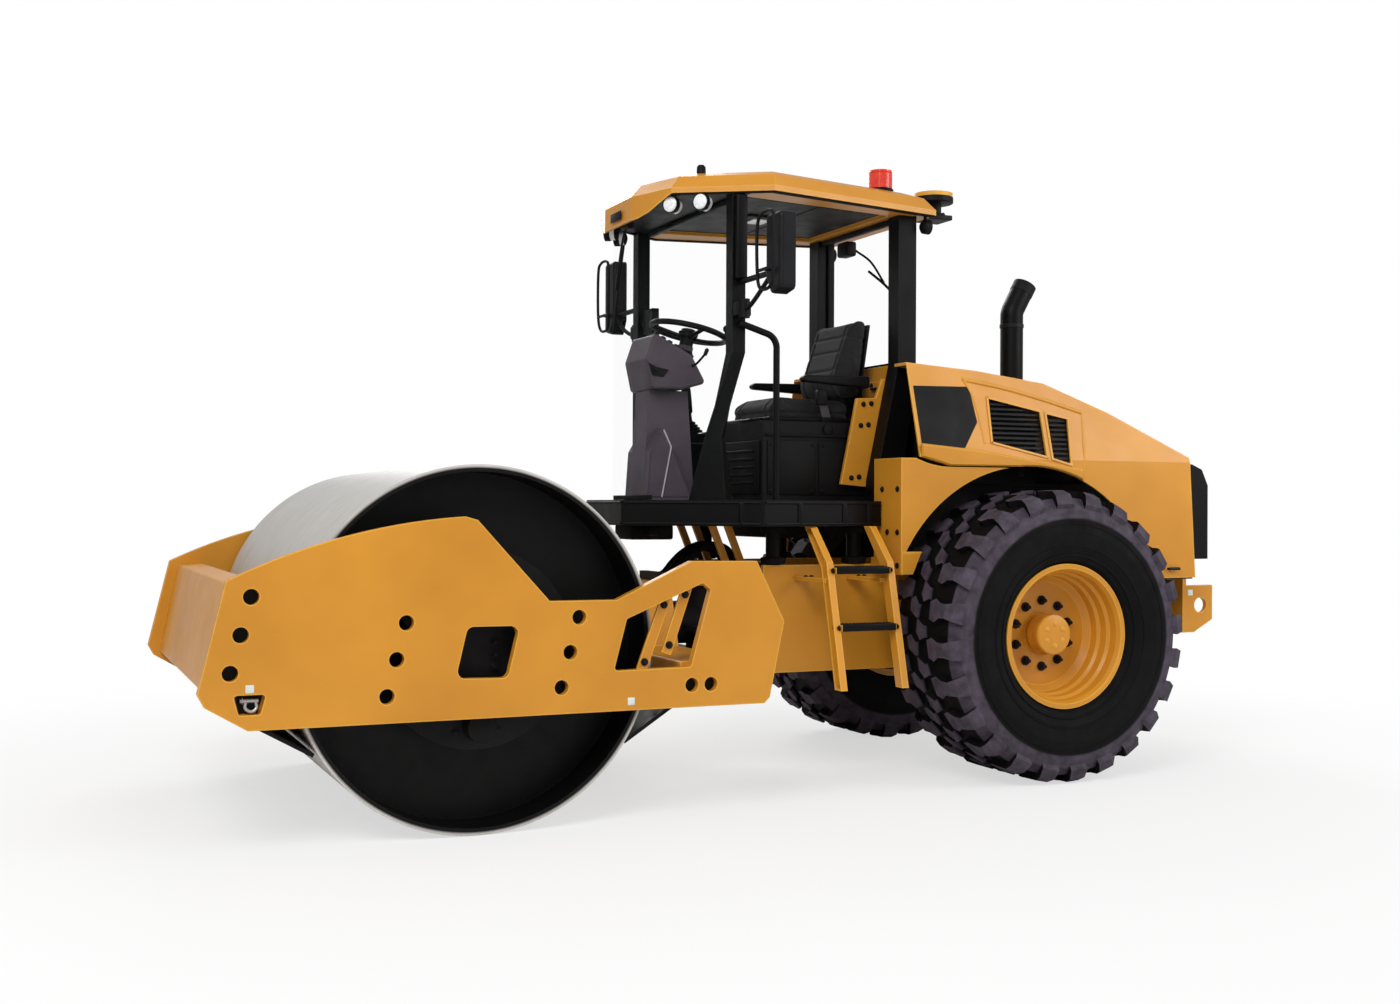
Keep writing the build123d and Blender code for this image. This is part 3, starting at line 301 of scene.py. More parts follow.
def tyre_rubber():
    """Near black carcass, and paler tops on the tread blocks that stand out of it."""
    n = Nodes("tyre_rubber")
    place = n.add("SeparateXYZ", [("Vector", n.coords)]).outputs
    facing = n.add("SeparateXYZ", [("Vector", n.add("TexCoord").outputs["Normal"])]).outputs
    dx = n.math("SUBTRACT", place["X"], REAR_AXLE)
    dz = n.math("SUBTRACT", place["Z"], AXLE_Z)
    radius = n.hypotenuse(dx, dz)
    off_middle = n.math("ABSOLUTE", n.math("SUBTRACT", n.math("ABSOLUTE", place["Y"]), TYRE_MIDDLE))
    shoulder = n.math("MULTIPLY", n.math("MAXIMUM", n.math("SUBTRACT", off_middle, 0.21), 0.0), 1.5)
    proud = n.remap(n.math("ADD", radius, shoulder), 0.704, 0.716, 0, 1)
    along = n.math("SUBTRACT", n.math("MULTIPLY", facing["X"], dz), n.math("MULTIPLY", facing["Z"], dx))
    wall = n.remap(n.math("ABSOLUTE", n.math("DIVIDE", along, radius)), 0.35, 0.7, 1, 0)
    base = n.ramp(n.noise(4, 5), (0.3, 8, 8, 8), (0.75, 17, 16, 17))
    worn = n.ramp(n.noise(18, 6), (0.3, 56, 50, 58), (0.75, 86, 78, 90))
    gloss = n.remap(n.noise(12, 6), 0.3, 0.7, 0.6, 0.8)
    return n.finish(n.mix(n.math("MULTIPLY", proud, wall), base, worn), gloss,
            n.bump(n.noise(160, 6, 0.7), 0.35, 0.0015), Specular_IOR_Level=0.1)


def drum_steel():
    """Rolled bright shell with a dark inside."""
    n = Nodes("drum_steel")
    rolled = n.noise(5, 5, 0.6, n.stretch((1, 14, 1)))
    tone = n.ramp(rolled, (0.28, 176, 173, 168), (0.74, 206, 203, 198))
    spots = n.ramp(n.noise(30, 6, 0.7), (0.63, 0, 0, 0), (0.8, 255, 255, 255))
    tone = n.mix(n.math("MULTIPLY", spots, 0.25), tone, linear(140, 134, 126))
    place = n.add("SeparateXYZ", [("Vector", n.coords)]).outputs
    radius = n.hypotenuse(n.math("SUBTRACT", place["X"], DRUM_AXIS),
            n.math("SUBTRACT", place["Z"], DRUM_RADIUS))
    shell = n.remap(radius, DRUM_RADIUS - 0.016, DRUM_RADIUS - 0.006, 0, 1)
    inside = n.ramp(n.noise(6, 5), (0.3, 5, 5, 5), (0.75, 11, 10, 10))
    gloss = n.remap(n.noise(14, 5), 0.3, 0.7, 0.36, 0.52)
    return n.finish(n.mix(shell, inside, tone), gloss, n.bump(rolled, 0.1, 0.001, 0.004), Metallic=0.08,
            Specular_IOR_Level=0.2)


def polished_rod():
    n = Nodes("chrome_rod")
    tone = n.ramp(n.noise(60, 4), (0.3, 205, 205, 210), (0.7, 228, 228, 232))
    gloss = n.remap(n.noise(80, 4), 0.3, 0.7, 0.08, 0.18)
    return n.finish(tone, gloss, n.bump(n.noise(300, 2), 0.05, 0.0004), Metallic=1.0)


def clear_glass():
    """Nearly clear pane with a faint dark green tone."""
    n = Nodes("window_glass")
    tone = n.ramp(n.noise(1.2, 3), (0.3, 52, 78, 68), (0.7, 62, 90, 79))
    gloss = n.remap(n.noise(2.5, 4), 0.35, 0.75, 0.02, 0.06)
    mat = n.finish(tone, gloss, n.bump(n.noise(1.5, 2), 0.03, 0.002), Alpha=0.010, Specular_IOR_Level=0.15)
    mat.surface_render_method = "BLENDED"
    return mat


def lens_red():
    n = Nodes("beacon_red")
    tone = n.ramp(n.noise(14, 3), (0.3, 222, 44, 24), (0.7, 243, 74, 38))
    gloss = n.remap(n.noise(20, 3), 0.3, 0.7, 0.12, 0.22)
    return n.finish(tone, gloss, n.bump(n.noise(60, 3), 0.1, 0.001), Transmission_Weight=0.12, IOR=1.49,
            Coat_Weight=0.5)


def lamp_lens():
    n = Nodes("lamp_lens")
    cells = n.cells(160.0)
    tone = n.ramp(cells, (0.1, 206, 210, 212), (0.7, 246, 248, 248))
    return n.finish(tone, n.remap(cells, 0, 1, 0.1, 0.2), n.bump(cells, 0.4, 0.0015), Coat_Weight=0.6)


def seat_fabric():
    """Woven cloth with threads along all three axes."""
    n = Nodes("seat_fabric")
    warp, weft, across = (n.add("TexWave", [("Vector", n.coords), ("Scale", 150.0), ("Distortion", 0.6)],
            bands_direction=axis).outputs["Fac"] for axis in "YZX")
    weave = n.math("MULTIPLY", n.math("ADD", n.math("ADD", warp, weft), across), 0.34)
    tone = n.ramp(weave, (0.2, 10, 10, 11), (0.9, 25, 24, 27))
    return n.finish(tone, n.remap(weave, 0, 1, 0.9, 0.8), n.bump(weave, 0.5, 0.0012), Sheen_Weight=0.06,
            Sheen_Roughness=0.5)


# name: dark tone, light tone, roughness, grain scale, grain depth and metallic share
GRAINED = {
    "dark_steel": ((20, 19, 20), (38, 37, 38), 0.5, 300, 0.0006, 0.3),
    "rubber": ((9, 9, 9), (17, 16, 17), 0.72, 260, 0.0008),
    "grey_plastic": ((62, 54, 62), (84, 76, 84), 0.5, 520, 0.0008),
    "black_plastic": ((10, 10, 10), (20, 19, 20), 0.5, 520, 0.0008),
    "mirror_shell": ((16, 16, 18), (30, 30, 33), 0.38, 600, 0.0004),
    "bare_plate": ((196, 204, 200), (222, 228, 224), 0.4, 700, 0.0002),
    "worn_steel": ((150, 148, 146), (196, 194, 192), 0.35, 240, 0.0006, 0.8),
    "pale_plastic": ((150, 144, 150), (184, 178, 184), 0.4, 520, 0.0004),
    "webbing": ((46, 45, 47), (84, 82, 85), 0.8, 900, 0.0008),
    "dark_glass": ((8, 10, 12), (18, 22, 26), 0.12, 900, 0.00005),
    "mirror_glass": ((176, 184, 190), (206, 212, 216), 0.08, 900, 0.00002, 1.0),
    "yellow_plastic": ((206, 148, 52), (232, 176, 76), 0.42, 600, 0.0005)}
looks = {
    "body_paint": painted("body_paint", (208, 142, 42), (194, 130, 36), (248, 194, 74), 0.34),
    "black_paint": painted("black_paint", (11, 10, 11), (7, 7, 7), (34, 33, 35), 0.42, coat=0.0, gloss=0.12)}
for name, values in GRAINED.items():
    looks[name] = grained(name, *values)
looks.update({"tyre_rubber": tyre_rubber(), "drum_steel": drum_steel(), "chrome_rod": polished_rod(),
        "window_glass": clear_glass(), "beacon_red": lens_red(), "lamp": lamp_lens(),
        "seat_fabric": seat_fabric()})
slots = set()
for part in frame["record"]["subparts"]:
    slot = part["material_slot"]
    slots.add(slot)
    shown = nodes[part["node"]]
    shown.data.materials.clear()
    shown.data.materials.append(looks[slot])


# ---- shapes ----
class Piece:
    """One mesh piece, gathered from simple forms and ridden on a body when it is done."""

    def __init__(self, name):
        self.name = name
        self.bm = bmesh.new()

    def _aim(self, start, end):
        start, end = Vector(start), Vector(end)
        turn = (end - start).to_track_quat("Z", "Y").to_matrix().to_4x4()
        return Matrix.Translation((start + end) / 2) @ turn, (end - start).length

    def box(self, first, second, bevel=0.0, turn=None):
        """Box between two opposite corners, with rounded edges."""
        low, high = Vector(map(min, first, second)), Vector(map(max, first, second))
        size = high - low
        place = Matrix.Translation((low + high) / 2)
        if turn is not None:
            place = place @ turn
        made = bmesh.ops.create_cube(self.bm, size=1, matrix=place @ Matrix.Diagonal((*size, 1)))["verts"]
        if bevel:
            edges = list(dict.fromkeys(e for v in made for e in v.link_edges))
            bmesh.ops.bevel(self.bm, geom=edges, offset=bevel, segments=3, affect="EDGES", profile=0.5)

    def bar(self, start, end, radius, sides=20, end_radius=None):
        place, length = self._aim(start, end)
        bmesh.ops.create_cone(self.bm, cap_ends=True, segments=sides, radius1=radius,
                radius2=radius if end_radius is None else end_radius, depth=length, matrix=place)

    def bolt(self, place, axis, radius=0.011, height=0.009):
        place, axis = Vector(place), Vector(axis).normalized()
        self.bar(place, place + axis * height * 0.3, radius * 1.5, 18)
        self.bar(place, place + axis * height, radius, 6, radius * 0.96)

    def turned(self, profile, origin, axis, sides=48):
        """Revolve (distance along the axis, radius) points about an axis."""
        origin = Vector(origin)
        frame_axis = Vector(axis).normalized()
        turn = frame_axis.to_track_quat("Z", "Y").to_matrix()
        rings = []
        for along, radius in profile:
            if radius < 1e-6:
                rings.append([self.bm.verts.new(origin + frame_axis * along)])
                continue
            ring = []
            for k in range(sides):
                a = 2 * math.pi * k / sides
                ring.append(self.bm.verts.new(origin + turn @ Vector((radius * math.cos(a),
                        radius * math.sin(a), along))))
            rings.append(ring)
        for first, second in zip(rings, rings[1:]):
            for k in range(sides):
                j = (k + 1) % sides
                if len(first) == 1:
                    self.bm.faces.new((first[0], second[k], second[j]))
                elif len(second) == 1:
                    self.bm.faces.new((first[k], first[j], second[0]))
                else:
                    self.bm.faces.new((first[k], first[j], second[j], second[k]))

    def plate(self, outline, y, depth):
        """Upright fore and aft plate, drawn as (x, z) forward of the rear axle, pushed sideways."""
        self.prism([at(x, y, z) for x, z in outline], (0, depth, 0))

    def prism(self, points, offset):
        """Flat polygon pushed along a vector."""
        offset = Vector(offset)
        base = [self.bm.verts.new(Vector(q)) for q in points]
        top = [self.bm.verts.new(Vector(q) + offset) for q in points]
        self.bm.faces.new(base[::-1])
        self.bm.faces.new(top)
        for k in range(len(base)):
            j = (k + 1) % len(base)
            self.bm.faces.new((base[k], base[j], top[j], top[k]))

    def tube(self, points, radius, sides=12, closed=False, steps=8):
        """Round bar along a smooth line through the points."""
        line = smooth_line([Vector(q) for q in points], closed, steps)
        count = len(line)
        rings = []
        normal = None
        for k in range(count):
            ahead = line[(k + 1) % count] if closed else line[min(k + 1, count - 1)]
            back = line[(k - 1) % count] if closed else line[max(k - 1, 0)]
            tangent = (ahead - back).normalized()
            if normal is None:
                normal = tangent.orthogonal().normalized()
            normal = (normal - tangent * normal.dot(tangent)).normalized()
            side = tangent.cross(normal)
            rings.append([self.bm.verts.new(line[k] + (normal * math.cos(a) + side * math.sin(a)) * radius)
                    for a in (2 * math.pi * j / sides for j in range(sides))])
        pairs = list(zip(rings, rings[1:] + rings[:1])) if closed else list(zip(rings, rings[1:]))
        for first, second in pairs:
            for j in range(sides):
                m = (j + 1) % sides
                self.bm.faces.new((first[j], first[m], second[m], second[j]))
        if not closed:
            self.bm.faces.new(rings[0][::-1])
            self.bm.faces.new(rings[-1])

    def ready(self, look, smooth=38, bevel=0.0):
        """Turn the gathered forms into an object that rides on nothing yet."""
        bmesh.ops.recalc_face_normals(self.bm, faces=self.bm.faces)
        mesh = bpy.data.meshes.new(self.name)
        self.bm.to_mesh(mesh)
        self.bm.free()
        obj = bpy.data.objects.new(self.name, mesh)
        bpy.context.scene.collection.objects.link(obj)
        mesh.materials.append(looks[look])
        mesh.polygons.foreach_set("use_smooth", [True] * len(mesh.polygons))
        mesh.set_sharp_from_angle(angle=math.radians(smooth))
        if bevel:
            rounding = obj.modifiers.new("rounding", "BEVEL")
            rounding.width = bevel
            rounding.segments = 2
            rounding.limit_method = "ANGLE"
            rounding.angle_limit = math.radians(40)
            rounding.harden_normals = True
        return obj

    def done(self, look, body="chassis", smooth=38, bevel=0.0):
        """Finish the piece and let it ride on the body."""
        obj = self.ready(look, smooth, bevel)
        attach(obj, body)


def smooth_line(points, closed, steps):
    """Catmull-Rom line through the points."""
    count = len(points)
    line = []
    last = count if closed else count - 1
    for k in range(last):
        if closed:
            a, b, c, d = (points[(k + o) % count] for o in (-1, 0, 1, 2))
        else:
            b, c = points[k], points[k + 1]
            a = points[k - 1] if k else b * 2 - c
            d = points[k + 2] if k + 2 < count else c * 2 - b
        for j in range(steps):
            t = j / steps
            square, cube = 2 * a - 5 * b + 4 * c - d, 3 * b - a - 3 * c + d
            line.append(0.5 * ((2 * b) + (c - a) * t + square * t * t + cube * t ** 3))
    if not closed:
        line.append(points[-1])
    return line


# ---- front frame and drum ----
PLATE_OUT = 1.150
PLATE_IN = 1.110
CARRIER_FACE = 1.018
CARRIER_CIRCLE = 0.36
SWING_CIRCLE = 0.155
STRAP_ENDS = ((-0.716, 0.694), (-0.806, 0.938), (-0.831, 0.763), (-0.906, 0.980))
PLUGGED_HOLES = ((0.930, 1.009), (0.9685, 0.863), (1.007, 0.717), (-0.923, 0.590), (-1.014, 0.590))


def front_frame_details():
    """Bolts and studs of the side plates, bare plates, hook slots and plugged holes."""
    bolts = Piece("strap_bolts")
    studs = Piece("carrier_studs")
    plates = Piece("bare_plates_front")
    recess = Piece("hook_recess")
    shackle = Piece("hook_shackle")
    for side in SIDES:
        out = (0, side, 0)
        for x, z in STRAP_ENDS:
            bolts.bolt(ahead(x, side * PLATE_IN, z), out, 0.011, 0.012)
        for z in (0.795, 0.742, 0.690):
            studs.bar(ahead(-0.072, side * 1.012, z), ahead(-0.072, side * 1.052, z), 0.008, 12)
            studs.bolt(ahead(-0.072, side * CARRIER_FACE, z), out, 0.014, 0.016)
        for dx, dz in around(12, CARRIER_CIRCLE, 0.5):
            studs.bolt(ahead(dx, side * CARRIER_FACE, DRUM_RADIUS + dz), out, 0.013, 0.014)
        for x, z in ((0.934, 0.655), (-0.640, 0.533)):
            plates.box(ahead(x - 0.016, side * (PLATE_OUT - 0.001), z - 0.016),
                    ahead(x + 0.016, side * (PLATE_OUT + 0.0005), z + 0.016), 0.0004)
        recess.prism([ahead(x, side * (PLATE_IN + 0.0005), z) for x,
                z in ((0.880, 0.630), (0.988, 0.630), (0.969, 0.558), (0.899, 0.558))], (0, side * 0.0015, 0))
        shackle.tube([ahead(0.908, side * 1.122, 0.606), ahead(0.905, side * 1.126, 0.580),
                ahead(0.925, side * 1.130, 0.566), ahead(0.948, side * 1.126, 0.580),
                ahead(0.945, side * 1.122, 0.606)], 0.007, 12)
        shackle.bar(ahead(0.898, side * 1.124, 0.608), ahead(0.958, side * 1.124, 0.608), 0.008, 16)
        shackle.bolt(ahead(0.958, side * 1.124, 0.608), X_AXIS, 0.010, 0.010)
        for x, z in PLUGGED_HOLES:
            recess.bar(ahead(x, side * (PLATE_IN + 0.0005), z), ahead(x, side * (PLATE_IN + 0.003), z),
                    0.0308, 36)
    bolts.done("dark_steel", "front_frame")
    studs.done("dark_steel", "front_frame")
    plates.done("bare_plate", "front_frame")
    recess.done("black_paint", "front_frame")
    shackle.done("worn_steel", "front_frame")


def crossmember_details():
    """Flange bolts of the swing housing and bolts of both scrapers."""
    ring = Piece("swing_flange_bolts")
    for dy, dz in around(10, SWING_CIRCLE):
        ring.bolt(at(1.820, dy, 0.770 + dz), (-1, 0, 0), 0.012, 0.012)
    ring.done("dark_steel", "hitch")
    strips = Piece("scraper_bolts")
    for index in range(9):
        y = -0.92 + 0.23 * index
        for x in (front(0.920), front(-0.815)):
            strips.bolt((x, y, 0.5015), (0, 0, -1), 0.010, 0.009)
    strips.done("dark_steel", "front_frame")


# ---- wheels ----
STUDS = 10
STUD_CIRCLE = 0.1675
DISC_Y = 0.840
HUB_NOSE = 0.940


def wheel_details():
    """Studs, hub cap, valve and sidewall rings on each wheel."""
    for side, word in WHEELS:
        body = f"wheel_{word}"
        out = (0, side, 0)
        axle = Vector((REAR_AXLE, 0, AXLE_Z))
        studs = Piece(f"wheel_studs_{word}")
        for dx, dz in around(STUDS, STUD_CIRCLE, 0.5):
            place = axle + Vector((dx, side * DISC_Y, dz))
            studs.bolt(place, out, 0.016, 0.026)
            studs.bar(place, place + Vector(out) * 0.040, 0.009, 14)
        studs.done("dark_steel", body)
        cap = Piece(f"hub_cap_{word}")
        cap.turned([(0.0, 0.0), (0.0, 0.097), (0.004, 0.100), (0.010, 0.098), (0.014, 0.090), (0.016, 0.0)],
                axle + Vector((0, side * (HUB_NOSE - 0.002), 0)), out, 64)
        for dx, dz in around(6, 0.055, 0.5):
            cap.bolt(axle + Vector((dx, side * (HUB_NOSE + 0.013), dz)), out, 0.008, 0.007)
        cap.turned([(-0.090, 0.101), (-0.070, 0.108), (-0.052, 0.104), (-0.040, 0.101)],
                axle + Vector((0, side * HUB_NOSE, 0)), out, 64)
        cap.done("body_paint", body, 30)
        valve = Piece(f"tyre_valve_{word}")
        valve.bar(axle + Vector((0.300, side * 1.000, 0.060)), axle + Vector((0.286, side * 1.036, 0.057)),
                0.005, 12)
        valve.bar(axle + Vector((0.288, side * 1.030, 0.057)), axle + Vector((0.284, side * 1.044, 0.056)),
                0.007, 12)
        valve.done("dark_steel", body)
        rings = Piece(f"sidewall_rings_{word}")
        for radius, reach in ((0.405, 1.0765), (0.452, 1.0905), (0.560, 1.0985)):
            rings.turned([(-0.004, radius - 0.007), (0.0025, radius - 0.003), (0.0025, radius + 0.003),
                    (-0.004, radius + 0.007)], axle + Vector((0, side * reach, 0)), out, 128)
        rings.done("tyre_rubber", body)


# ---- hood ----
SIDE_FOOT = (0.740, 1.615)
SIDE_LEAN = 0.140 / 0.495


def on_hood(x, z, side, proud=0.0):
    """Point on the hood's side skin, upright below the bend and leaning in above it."""
    y = SIDE_FOOT[0] - max(0.0, z - SIDE_FOOT[1]) * SIDE_LEAN
    return at(x, side * (y + proud), z)


def plate_on_hood(piece, outline, side, proud, depth):
    """Plate that stands so far out of the skin."""
    base = [on_hood(x, z, side, proud - depth) for x, z in outline]
    piece.prism(base, (0, side * depth, 0))


def strip_on_hood(piece, outline, side, width, proud):
    """Flat bar that follows a closed line on the skin."""
    for (x1, z1), (x2, z2) in zip(outline, outline[1:] + outline[:1]):
        length = math.hypot(x2 - x1, z2 - z1)
        ux, uz = (x2 - x1) / length * width / 2, (z2 - z1) / length * width / 2
        quad = [(x1 - ux - uz, z1 - uz + ux), (x1 - ux + uz, z1 - uz - ux), (x2 + ux + uz, z2 + uz - ux),
                (x2 + ux - uz, z2 + uz + ux)]
        base = [on_hood(x, z, side, -0.003) for x, z in quad]
        piece.prism(base, (0, side * (proud + 0.003), 0))


WIDE_VENT = [(0.203, 1.932), (-0.118, 1.869), (-0.115, 1.626), (0.219, 1.697)]
NARROW_VENT = [(-0.147, 1.862), (-0.289, 1.835), (-0.265, 1.588), (-0.144, 1.619)]
PANEL = [(0.640, 1.978), (0.306, 1.984), (0.288, 1.801), (0.392, 1.659), (0.640, 1.659)]


EXHAUST_X = -0.420


def hood_details():
    """Panels, vent frames, creases and latches on the sides, and the exhaust's and grille's trim."""
    panel = Piece("hood_side_panels")
    frames = Piece("vent_frames")
    crease = Piece("hood_creases")
    latch = Piece("hood_latches")
    for side in SIDES:
        plate_on_hood(panel, PANEL, side, 0.0025, 0.004)
        for vent in (WIDE_VENT, NARROW_VENT):
            strip_on_hood(frames, vent, side, 0.012, 0.006)
        crease.tube([on_hood(x, z, side, -0.002) for x, z in ((0.335, 2.020), (0.10, 1.985), (-0.15, 1.930),
                (-0.388, 1.868))], 0.011, 12)
        crease.tube([on_hood(x, z, side, -0.003) for x, z in ((0.330, 2.016), (0.290, 1.930), (0.268, 1.800),
                (0.262, 1.690))], 0.008, 12)
        crease.tube([on_hood(x, z, side, -0.003) for x, z in ((-0.385, 1.862), (-0.372, 1.760),
                (-0.355, 1.640), (-0.340, 1.545))], 0.008, 12)
        for x in (-0.910, -0.965):
            latch.bar(on_hood(x, 1.040, side, -0.004), on_hood(x, 1.040, side, 0.018), 0.006, 14)
        latch.bar(on_hood(-0.902, 1.040, side, 0.020), on_hood(-0.973, 1.040, side, 0.020), 0.008, 16)
        latch.box(at(-1.080, side * 0.700, 0.9835), at(-0.800, side * 0.7415, 0.9895), 0.002)
    panel.done("black_paint", "hood", bevel=0.0012)
    frames.done("body_paint", "hood", bevel=0.0015)
    crease.done("body_paint", "hood")
    latch.done("dark_steel", "hood")
    top = Piece("hood_top_details")
    for y in (-0.47, 0.47):
        for x in (0.46, 0.30):
            top.bolt(at(x, y, 2.082 if x > 0.4 else 2.074), Z_AXIS, 0.011, 0.008)
    top.turned([(-0.05, 0.078), (0.045, 0.078), (0.052, 0.074), (0.052, 0.066)], at(EXHAUST_X, 0, 1.945),
            Z_AXIS, 48)
    top.done("dark_steel", "hood")
    tip = Piece("exhaust_tip")
    lean = Vector((-0.09, 0, 0.16)).normalized()
    mouth = at(-0.510, 0, 2.640)
    tip.turned([(-0.060, 0.0645), (-0.058, 0.0665), (0.001, 0.0665), (0.0025, 0.062), (-0.002, 0.058),
            (-0.002, 0.0)], mouth, lean, 48)
    for z in (2.06, 2.40):
        tip.turned([(-0.012, 0.0642), (-0.010, 0.068), (0.010, 0.068), (0.012, 0.0642)], at(EXHAUST_X, 0, z),
                Z_AXIS, 48)
    tip.done("dark_steel", "hood")
    slats = Piece("rear_grille_frame")
    for y in (-0.715, -0.012, 0.691):
        slats.box(at(-1.199, y, 1.100), at(-1.189, y + 0.024, 1.490), 0.003)
    for z in (1.095, 1.478):
        slats.box(at(-1.199, -0.715, z), at(-1.189, 0.715, z + 0.020), 0.003)
    slats.done("black_paint", "hood")


# ---- hitch hoses ----
HOSE_RADIUS = 0.018
HOSES = 4
HOSE_GAP = 0.060


def hitch_hoses():
    """Hoses over the hitch, held at both ends."""
    hoses = Piece("hitch_hoses_flexed")
    ends = Piece("hose_fittings_rear")
    noses = Piece("hose_fittings_front")
    for index in range(HOSES):
        y = (index - (HOSES - 1) / 2) * HOSE_GAP
        top = 1.150 + 0.012 * (index % 2)
        start, end = at(1.2153, y, 1.045), at(1.7737, y, 1.005)
        hoses.tube([start, at(1.250, y, 1.045), at(1.300, y, 1.052), at(1.360, y, 1.094),
                at(1.430, y, top - 0.008), at(1.520, y, top + 0.004), at(1.590, y, top - 0.030),
                at(1.645, y, 1.070), at(1.690, y, 1.020), at(1.735, y, 1.005), end], HOSE_RADIUS, 16, steps=7)
        for piece, place, turn in ((ends, start, 1), (noses, end, -1)):
            piece.turned([(0.0, 0.0), (0.0, 0.024), (0.012, 0.024), (0.014, 0.0205), (0.040, 0.0205),
                    (0.042, 0.018)], place, (turn, 0, 0), 28)
            piece.bar(place, place + Vector((turn * 0.014, 0, 0)), 0.026, 6)
    flexed = hoses.ready("rubber", 60)
    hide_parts("hitch_hoses")
    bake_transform(flexed)
    ends.done("worn_steel")
    noses.done("worn_steel", "hitch")


# ---- seat ----
SIM_FRAMES = 20
VOXEL = 0.006
PRESSURE = 4.0
BULGE_CAP = 0.014


def evaluated(obj):
    """The object's mesh with its modifiers applied."""
    graph = bpy.context.evaluated_depsgraph_get()
    return bpy.data.meshes.new_from_object(obj.evaluated_get(graph))


def softened(piece, look, rounding, segments):
    """Ready the piece with its edges rounded for good."""
    pad = piece.ready(look, 60)
    soften = pad.modifiers.new("soften", "BEVEL")
    soften.width = rounding
    soften.segments = segments
    pad.data = evaluated(pad)
    pad.modifiers.clear()
    return pad


def stuffed(obj):
    """Remesh evenly and blow up as sewn cloth, with no point moving further than the cap."""
    remesh = obj.modifiers.new("remesh", "REMESH")
    remesh.mode = "VOXEL"
    remesh.voxel_size = VOXEL
    mesh = evaluated(obj)
    obj.modifiers.clear()
    obj.data = mesh
    start = [v.co.copy() for v in mesh.vertices]
    cloth = obj.modifiers.new("cloth", "CLOTH")
    cloth.settings.quality = 4
    cloth.settings.use_pressure = True
    cloth.settings.uniform_pressure_force = PRESSURE
    cloth.settings.effector_weights.gravity = 0
    cloth.point_cache.frame_start = 1
    cloth.point_cache.frame_end = SIM_FRAMES
    for frame_number in range(1, SIM_FRAMES + 1):
        bpy.context.scene.frame_set(frame_number)
        evaluated_now = evaluated(obj)
        if frame_number < SIM_FRAMES:
            bpy.data.meshes.remove(evaluated_now)
    obj.modifiers.clear()
    obj.data = evaluated_now
    bpy.context.scene.frame_set(1)
    for vertex, was in zip(obj.data.vertices, start):
        move = vertex.co - was
        if move.length > BULGE_CAP:
            vertex.co = was + move.normalized() * BULGE_CAP


def sewn(obj, seams, depth=0.007, width=0.007):
    """Press channels into the cushion where a seam's distance is near nought."""
    for vertex in obj.data.vertices:
        near = min(abs(seam(vertex.co)) for seam in seams)
        if near < width * 3:
            vertex.co -= vertex.normal * depth * math.exp(-(near / width) ** 2)


def cushion(name, outline, half_width, rounding, seams, replaced):
    """Padded block drawn as (x, z) forward of the rear axle, as wide as the seat."""
    piece = Piece(name)
    piece.prism([at(x, -half_width, z) for x, z in outline], (0, 2 * half_width, 0))
    pad = softened(piece, "seat_fabric", rounding, 5)
    stuffed(pad)
    sewn(pad, seams)
    for face in pad.data.polygons:
        face.use_smooth = True
    pad.data.materials.clear()
    pad.data.materials.append(looks["seat_fabric"])
    finer = pad.modifiers.new("finer", "SUBSURF")
    finer.levels = 1
    finer.render_levels = 1
    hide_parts(replaced)
    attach(pad, "chassis")


BOLSTER = 0.150
SEAT_BOX_HALF = 0.330


